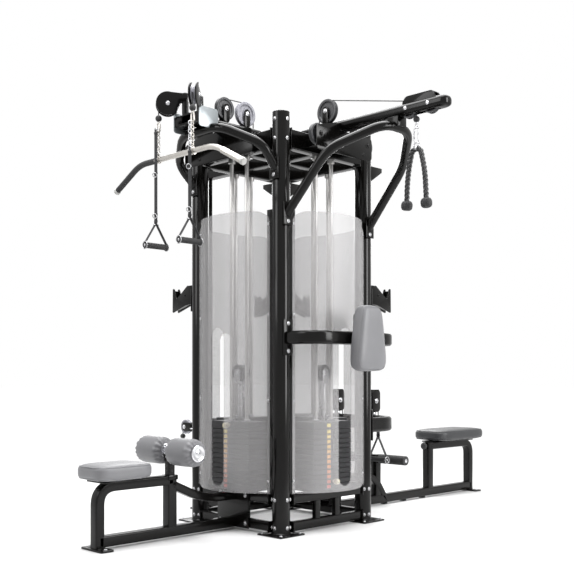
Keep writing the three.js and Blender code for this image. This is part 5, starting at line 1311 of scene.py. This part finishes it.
class GYM_OT_row_bow(bpy.types.Operator):
    """Builds the bow of the row side with its swivelling pulleys and handles"""

    bl_idname = "gym.row_bow"
    bl_label = "Row bow and handles"

    def execute(self, context):
        side = "row"
        Form(bow_shape(640, 500, 586, 44, 150), foot_plates(543, 88)).place(
            "row_bow_tube", side, "tower", "frame", ["row_bow"])
        leave = 45 * 0.84 + 3.3
        for s, name in ((-1, "left"), (1, "right")):
            move = Matrix.Translation((s * 146, 0, 0))
            yoke, bands = Form(), Form()
            for t in (1, -1):
                outline = rounded_outline(-684, -612, 604.3, 741, 26)
                yoke.add(plate(outline, 6, "yz", t * 18, 1), matrix=move)
                bands.add(bolt((t * 21, -648, 672), (t, 0, 0), 11), matrix=move)
            yoke.add(box((-21, 21), (-656, -624), (604.3, 612.3), 2), box((-21, 21), (-672, -624), (735, 741), 2), matrix=move)
            yoke.place(f"row_yoke_{name}", side, f"swivel_{name}", "frame")
            bands.add(turned([
                (0, 586.3), (17, 586.3), (18, 588), (18, 600), (16, 603), (12, 605), (12, 612), (0, 612)],
                (0, -640, 0), (0, 0, 1), 32), matrix=move)
            bands.place(f"row_swivel_metal_{name}", side, f"swivel_{name}", "chrome", [f"row_swivel_{name}"])
            Form().add(wheel(45, 24, (0, -648, 672), (1, 0, 0)), matrix=move).place(
                f"row_wheel_{name}", side, f"swivel_{name}", "pulley")
            stirrup(side, f"row_grip_{name}", f"row_handle_{name}", (s * 146, -648 - leave), 440, 486, 312, 672)
        return {"FINISHED"}


def sole_shape(out, half_y=36.0):
    return plate(rounded_outline(-90, 90, -out - half_y, half_y - out, 10), 10, "xy", 5, 1.5)


def bent(points, bend, width, steps=12):
    """A box tube bent along a line in the plane along the view."""
    line = rounded_line([(0, y, z) for y, z in points], bend, steps)
    return sweep(line, box_section(54, width, 8, 5), (1, 0, 0))


class GYM_OT_pulldown_bench(bpy.types.Operator):
    """Builds the bench of the pulldown side with its seat and thigh rollers"""

    bl_idname = "gym.pulldown_bench"
    bl_label = "Pulldown bench"

    def execute(self, context):
        side = "pulldown"
        form = Form(
            box((-125, 125), (-373.3, -365.3), (12, 205), 2),
            tube((0, -1231, 39), (0, -369, 39), 54, 54, 7),
            tube((0, -800, 63), (0, -800, 322), 54, 54, 7),
            bent([(-369, 182), (-585, 182), (-800, 278)], 110, 44),
            bent([(-800, 300), (-1231, 300), (-1231, 5)], 90, 50),
            sole_shape(1231),
            box((-77, 77), (-1241, -1021), (321, 329), 1.5))
        form.add(box((-31, 31), (-831, -769), (300, 326), 4))
        form.place("pulldown_bench_frame", side, "tower", "frame", ["pulldown_bench"])
        cushion("pulldown_cushion", side, "tower", "vinyl", ["pulldown_seat"], (230, 330, 82),
                Matrix.Translation((0, -1131, 329.3 + 41)))
        post = Form(tube((0, -800, 92), (0, -800, 463), 38, 38, 4))
        post.place("roller_post", side, "roller_frame", "frame", ["roller_upright"])
        # Painted shade: flat matte black discs on the post's faces stand in for the dark insides of its adjustment
        # holes.
        hole_shade_discs = Form()
        for z in range(346, 430, 26):
            for s in (1, -1):
                hole_shade_discs.add(turned([(0, -0.4), (6, -0.4), (6, 0.4), (0, 0.4)], (s * 19, -800, z), (s, 0, 0), 20))
            hole_shade_discs.add(turned([(0, -0.4), (6, -0.4), (6, 0.4), (0, 0.4)], (0, -819, z), (0, -1, 0), 20))
        hole_shade_discs.place("roller_post_hole_shade_discs", side, "roller_frame", "rubber", slot="strap")
        axle = Form(rod(14, (-232, -800, 446), (232, -800, 446), 28))
        axle.add(mirror(lambda s: turned([
            (0, 0), (41, 0), (43, 1.5), (43, 5), (40, 7), (34, 7.4), (31, 5.6), (15, 5.6), (12, 7.4), (0, 7.4)],
            (s * 224.6, -800, 446), (s, 0, 0), 44)))
        axle.add(mirror(lambda s: turned([
            (0, 0), (37, 0), (38, 1), (38, 4), (36, 5), (0, 5)], (s * 27, -800, 446), (-s, 0, 0), 40)))
        axle.add(turned([(0, -21), (23, -21), (24, -20), (24, 20), (23, 21), (0, 21)], (0, -800, 446), (1, 0, 0), 36))
        axle.place("roller_axle", side, "roller_frame", "chrome")
        for s, name in ((-1, "left"), (1, "right")):
            roller = Form(self.roller((s * 28, -800, 446), (s, 0, 0), 194, 70))
            piece = roller.place(
                f"thigh_cushion_{name}", side, f"roller_{name}", "vinyl", [f"thigh_roller_{name}"], smooth=60)
        return {"FINISHED"}

    def roller(self, start, along, length, radius):
        """A foam roller whose cover is gathered in pleats at both ends."""
        profile = [(14.6, 0)]
        shares = [
            (0.36, 0), (0.6, 0.004), (0.78, 0.02), (0.9, 0.05), (0.965, 0.09), (0.99, 0.14), (1, 0.22), (1, 0.36),
            (1, 0.5), (1, 0.64), (1, 0.78), (0.99, 0.86), (0.965, 0.91), (0.9, 0.95), (0.78, 0.98), (0.6, 0.996),
            (0.36, 1)]
        profile += [(radius * r, length * h) for r, h in shares]
        profile += [(14.6, length), (14.6, 0)]
        shape = turned(profile, start, along, 96)
        axis = Vector(along).normalized()
        origin = Vector(start)
        for point in shape.verts:
            offset = point.co - origin
            height = offset.dot(axis)
            radial = offset - axis * height
            reach = radial.length
            if reach < 16:
                continue
            side = Vector((0, 0, 1)).cross(axis)
            angle = math.atan2(radial.dot(side), radial.z)
            near_end = min(height, length - height) / length
            pleat = max(0.0, 1 - near_end / 0.15)
            wave = (0.5 + 0.5 * math.sin(angle * 17 + 1.4 * math.sin(angle * 3))) * pleat * 0.19
            sag = 0.012 * math.sin(angle * 5 + height * 0.05)
            point.co = origin + axis * height + radial * (1 - wave + sag * (1 - pleat) * 0.4)
        return shape


class GYM_OT_row_bench(bpy.types.Operator):
    """Builds the bench of the row side with its seat and foot rest"""

    bl_idname = "gym.row_bench"
    bl_label = "Row bench"

    def execute(self, context):
        side = "row"
        form = Form(
            box((-125, 125), (-373.3, -365.3), (12, 205), 2),
            tube((0, -1880, 39), (0, -369, 39), 54, 54, 7),
            tube((0, -1400, 60), (0, -1400, 369), 54, 54, 7),
            bent([(-1400, 346.5), (-1880, 346.5), (-1880, 5)], 80, 49),
            bent([(-369, 182), (-800, 205), (-930, 19)], 120, 44),
            tube((0, -844, 60), (0, -844, 324), 48, 48, 6),
            box((-70, 70), (-1836, -1424), (368, 376), 1.5),
            sole_shape(1880))
        form.add([box((-16, 16), (-out - 16, 16 - out), (0, 14), 2) for out in (926, 1124, 1332)])
        form.place("row_bench_frame", side, "tower", "frame", ["row_bench"])
        knob = Form(turned([
            (0, 0), (10, 0), (10, 8), (20, 11), (22, 16), (22, 26), (19, 30), (0, 31)],
            (0, -1373.5, 346.5), (0, 1, 0), 32))
        knob.place("row_bench_knob", side, "tower", "rubber", slot="strap")
        cushion("row_cushion", side, "tower", "dark_vinyl", ["row_seat"], (280, 532, 80),
                Matrix.Translation((0, -1650, 376.3 + 40)))
        bar = Form(rod(12, (-242, -844, 298), (242, -844, 298), 28))
        bar.place("foot_axle", side, "foot_bar", "chrome")
        sleeves = Form()
        for s in (1, -1):
            profile = [(12.3, 34), (28, 34), (29, 36)]
            for k in range(20):
                at = 40 + k * 9.6
                profile += [(29, at), (27.6, at + 1.6), (27.6, at + 4), (29, at + 5.6)]
            profile += [(29, 238), (28, 240), (12.3, 240), (12.3, 34)]
            sleeves.add(turned(profile, (0, -844, 298), (s, 0, 0), 36))
        sleeves.place("foot_sleeves", side, "foot_bar", "rubber", ["foot_rest"], slot="sleeve")
        return {"FINISHED"}


class GYM_OT_carriage(bpy.types.Operator):
    """Builds the carriage that slides on the column, with its pulley"""

    bl_idname = "gym.carriage"
    bl_label = "Sliding carriage"

    def execute(self, context):
        side = "column"
        z = 499.0
        sleeve = bmesh.new()
        outer = rounded_outline(-55, 55, -735, -625, 9)
        inner = rounded_outline(-36, 36, -716, -644, 6)
        rings = []
        for outline in (outer, inner):
            points = [sleeve.verts.new((x, y, z - 60)) for x, y in outline]
            rings.append([sleeve.edges.new((points[i], points[(i + 1) % len(points)])) for i in range(len(points))
                          if (points[i].co - points[(i + 1) % len(points)].co).length > 1e-6])
        faces = bmesh.ops.bridge_loops(sleeve, edges=rings[0] + rings[1])["faces"]
        made = bmesh.ops.extrude_face_region(sleeve, geom=faces)["geom"]
        bmesh.ops.translate(sleeve, vec=(0, 0, 120), verts=[g for g in made if isinstance(g, bmesh.types.BMVert)])
        form = Form(sleeve)
        for s in (1, -1):
            form.add(plate(rounded_outline(-884, -730, z - 27, z + 27, 20), 6, "yz", s * 18, 1))
        form.add(box((-21, 21), (-800, -732), (z - 17, z + 17), 3))
        form.place("carriage_sleeve", side, "carriage", "frame", ["column_carriage"])
        Form(wheel(45, 24, (0, -862, z), (1, 0, 0))).place("carriage_wheel", side, "carriage", "pale_pulley")
        metal = Form(mirror(lambda s: bolt((s * 21, -862, z), (s, 0, 0), 10)))
        metal.add(rod(8, (50, -680, z), (80, -680, z), 24), ring(13, 3, (101, -680, z), (0, 0, 1)))
        metal.add(turned([(0, 78), (16, 78), (17, 80), (17, 86), (14, 90), (0, 91)], (0, -680, z), (1, 0, 0), 32))
        metal.place("carriage_knob", side, "carriage", "chrome")
        cord = Form(rod(3, (0, -899.8, z - 62), (0, -899.8, z), 16), ball(17, (0, -899.8, z - 62)))
        cord.place("carriage_cord", side, "carriage", "cable")
        return {"FINISHED"}


class GYM_OT_bolts(bpy.types.Operator):
    """Builds the bolts that hold the frame together"""

    bl_idname = "gym.bolts"
    bl_label = "Bolts"

    def execute(self, context):
        out = -POST_FACE - 8
        places = {
            "pulldown": [(s * HALF, out, z) for s in (1, -1) for z in (1868, 1942)],
            "pushdown": [(s * HALF, out, z) for s in (1, -1) for z in (1627, 1707, 956, 1098)],
            "row": [(s * HALF, out, z) for s in (1, -1) for z in (474, 612)],
            "column": [],
        }
        for side, spots in places.items():
            form = Form([bolt(at, (0, -1, 0), 7.5) for at in spots])
            for s in (1, -1):
                for z in (2058, 2158, 39.5, 185):
                    form.add(bolt((s * HALF, -HALF - POST + 0.3, z), (0, -1, 0), 7.5))
                form.add(bolt((s * 300, -365.2, 39.5), (0, -1, 0), 7), bolt((s * 300, -365.2, 185), (0, -1, 0), 7))
                for dx in (-70, 70):
                    for dy in (-70, 70):
                        if s == 1:
                            form.add(bolt((HALF + dx, -HALF + dy, 8), (0, 0, 1), 8))
                for z in (280, 700, 1150, 1620):
                    form.add(bolt((s * 276, -370.5, z), (0, -1, 0), 5))
            if side in ("pulldown", "row"):
                form.add([bolt((s * 100, -373.3, z), (0, -1, 0), 9) for s in (1, -1) for z in (39, 190)])
            ends = {"pulldown": (1231,), "row": (1880,), "column": (680,), "pushdown": ()}[side]
            form.add([bolt((s * 68, -end, 10), (0, 0, 1), 8) for s in (1, -1) for end in ends])
            form.place(f"bolts_{side}", side, "tower", "steel", slot="chrome")
        return {"FINISHED"}


# ---------------------------------------------------------------------------------------------------
# Stage
# ---------------------------------------------------------------------------------------------------


def soft_lamp(name, location, target, size, power):
    data = bpy.data.lights.new(name, "AREA")
    data.shape = "RECTANGLE"
    data.size, data.size_y = size
    data.energy = power
    lamp = bpy.data.objects.new(name, data)
    lamp.location = location
    lamp.rotation_euler = (Vector(target) - Vector(location)).to_track_quat("-Z", "Y").to_euler()
    bpy.context.scene.collection.objects.link(lamp)
    return lamp


class GYM_OT_stage(bpy.types.Operator):
    """Builds the floor, the studio light and the camera"""

    bl_idname = "gym.stage"
    bl_label = "Stage"

    def execute(self, context):
        scene = context.scene
        shape = bmesh.new()
        bmesh.ops.create_grid(shape, x_segments=1, y_segments=1, size=40)
        mesh = bpy.data.meshes.new("floor")
        shape.to_mesh(mesh)
        shape.free()
        floor = bpy.data.objects.new("floor", mesh)
        scene.collection.objects.link(floor)
        mesh.materials.append(self.floor_finish())
        self.sky(scene)
        middle = tower_middle()
        away = Vector((1, -1, 0)).normalized()
        right = Vector((1, 1, 0)).normalized()
        target = middle + Vector((0, 0, 1.2))
        soft_lamp("key", target - right * 4.2 + away * 2.4 + Vector((0, 0, 2.6)), target, (2.4, 3.2), 120)
        soft_lamp("fill", target + right * 4.6 + away * 2.2 + Vector((0, 0, 1.4)), target, (2.0, 3.4), 230)
        soft_lamp("top", target + Vector((0, 0, 3.6)), target, (4.0, 4.0), 330)
        soft_lamp("back", target - away * 4.4 + Vector((0, 0, 2.0)), target, (3.4, 2.4), 110)
        data = bpy.data.cameras.new("camera")
        data.lens = scene.gym_sizes.lens
        data.sensor_width = 36
        data.shift_x = 0.0
        data.shift_y = scene.gym_sizes.shift
        camera = bpy.data.objects.new("camera", data)
        camera.location = middle + away * 5.192 + right * 0.031 + Vector((0, 0, 0.848))
        camera.rotation_euler = (-away).to_track_quat("-Z", "Y").to_euler()
        scene.collection.objects.link(camera)
        scene.camera = camera
        scene.view_settings.view_transform = "Standard"
        return {"FINISHED"}

    def floor_finish(self):
        """Pale floor that turns into the white backdrop a few metres away."""
        material, tree, shader = start_material("pale floor", (0.93, 0.93, 0.93), 0.6)
        shader.inputs["Specular IOR Level"].default_value = 0.1
        length = add_node(tree, "ShaderNodeVectorMath", operation="LENGTH")
        spread = add_node(tree, "ShaderNodeMapRange", interpolation_type="SMOOTHSTEP")
        spread.inputs["From Min"].default_value = 1.9
        spread.inputs["From Max"].default_value = 3.6
        tree.links.new(position(tree), length.inputs[0])
        tree.links.new(length.outputs["Value"], spread.inputs["Value"])
        vary_colour(tree, shader, spread.outputs["Result"], (0.93, 0.93, 0.93), (0, 0, 0))
        shader.inputs["Emission Strength"].default_value = 1.0
        glow = add_node(tree, "ShaderNodeMix", data_type="RGBA")
        glow.inputs["A"].default_value = (0, 0, 0, 1)
        glow.inputs["B"].default_value = (1, 1, 1, 1)
        light = tree.nodes.new("ShaderNodeLightPath")
        seen = add_node(tree, "ShaderNodeMath", operation="MAXIMUM")
        both = add_node(tree, "ShaderNodeMath", operation="MAXIMUM")
        shown = add_node(tree, "ShaderNodeMath", operation="MULTIPLY")
        tree.links.new(light.outputs["Is Camera Ray"], seen.inputs[0])
        tree.links.new(light.outputs["Is Transmission Ray"], seen.inputs[1])
        tree.links.new(seen.outputs[0], both.inputs[0])
        tree.links.new(light.outputs["Is Glossy Ray"], both.inputs[1])
        tree.links.new(both.outputs[0], shown.inputs[0])
        tree.links.new(spread.outputs["Result"], shown.inputs[1])
        tree.links.new(shown.outputs[0], glow.inputs["Factor"])
        tree.links.new(glow.outputs["Result"], shader.inputs["Emission Color"])
        return material

    def sky(self, scene):
        world = bpy.data.worlds.new("studio")
        scene.world = world
        world.use_nodes = True
        tree = world.node_tree
        background = tree.nodes["Background"]
        background.inputs["Color"].default_value = (1, 1, 1, 1)
        light = tree.nodes.new("ShaderNodeLightPath")
        seen = add_node(tree, "ShaderNodeMath", operation="MAXIMUM")
        spread = add_node(tree, "ShaderNodeMapRange")
        spread.inputs["To Min"].default_value = 0.2
        spread.inputs["To Max"].default_value = 1.0
        tree.links.new(light.outputs["Is Camera Ray"], seen.inputs[0])
        tree.links.new(light.outputs["Is Transmission Ray"], seen.inputs[1])
        both = add_node(tree, "ShaderNodeMath", operation="MAXIMUM")
        tree.links.new(seen.outputs[0], both.inputs[0])
        tree.links.new(light.outputs["Is Glossy Ray"], both.inputs[1])
        tree.links.new(both.outputs[0], spread.inputs["Value"])
        tree.links.new(spread.outputs["Result"], background.inputs["Strength"])


# ---------------------------------------------------------------------------------------------------
# Settings and panel
# ---------------------------------------------------------------------------------------------------


class GymSizes(bpy.types.PropertyGroup):
    post_height: FloatProperty(name="Post height", description="Height of the four posts", default=2.2, unit="LENGTH")
    lens: FloatProperty(name="Lens", description="Focal length of the camera", default=57.0, unit="CAMERA")
    shift: FloatProperty(name="Shift", description="Vertical shift of the camera", default=0.148)


class GymColours(bpy.types.PropertyGroup):
    frame: FloatVectorProperty(
        name="Frame", description="Powder coat of the frame", default=(0.0036, 0.0033, 0.003), size=3, subtype="COLOR")
    vinyl: FloatVectorProperty(
        name="Vinyl", description="Cover of the light pads", default=(0.205, 0.205, 0.215), size=3, subtype="COLOR")
    dark_vinyl: FloatVectorProperty(
        name="Dark vinyl", description="Cover of the row seat", default=(0.022, 0.023, 0.025), size=3, subtype="COLOR")
    shroud: FloatVectorProperty(
        name="Shroud", description="Frosted sheet", default=(0.54, 0.53, 0.535), size=3, subtype="COLOR")


OPERATORS = [
    GYM_OT_posts, GYM_OT_ladders, GYM_OT_top_frame, GYM_OT_shrouds, GYM_OT_stacks, GYM_OT_pulldown_overhead,
    GYM_OT_pushdown_overhead, GYM_OT_fascias, GYM_OT_pad, GYM_OT_row_bow, GYM_OT_pulldown_bench, GYM_OT_row_bench,
    GYM_OT_carriage, GYM_OT_bolts, GYM_OT_stage,
]


class GYM_PT_panel(bpy.types.Panel):
    """Lists the pieces and their settings in the sidebar"""

    bl_label = "Gym"
    bl_idname = "GYM_PT_panel"
    bl_space_type = "VIEW_3D"
    bl_region_type = "UI"
    bl_category = "Gym"

    def draw(self, context):
        for settings in (context.scene.gym_sizes, context.scene.gym_colours):
            for key in settings.__annotations__:
                self.layout.prop(settings, key)
        for operator in OPERATORS:
            self.layout.operator(operator.bl_idname)


CLASSES = [GymSizes, GymColours, *OPERATORS, GYM_PT_panel]


def register():
    for item in CLASSES:
        bpy.utils.register_class(item)
    bpy.types.Scene.gym_sizes = PointerProperty(type=GymSizes)
    bpy.types.Scene.gym_colours = PointerProperty(type=GymColours)


def unregister():
    del bpy.types.Scene.gym_colours
    del bpy.types.Scene.gym_sizes
    for item in reversed(CLASSES):
        bpy.utils.unregister_class(item)


def main():
    register()
    for operator in OPERATORS:
        group, name = operator.bl_idname.split(".")
        getattr(getattr(bpy.ops, group), name)()


if __name__ == "__main__":
    main()
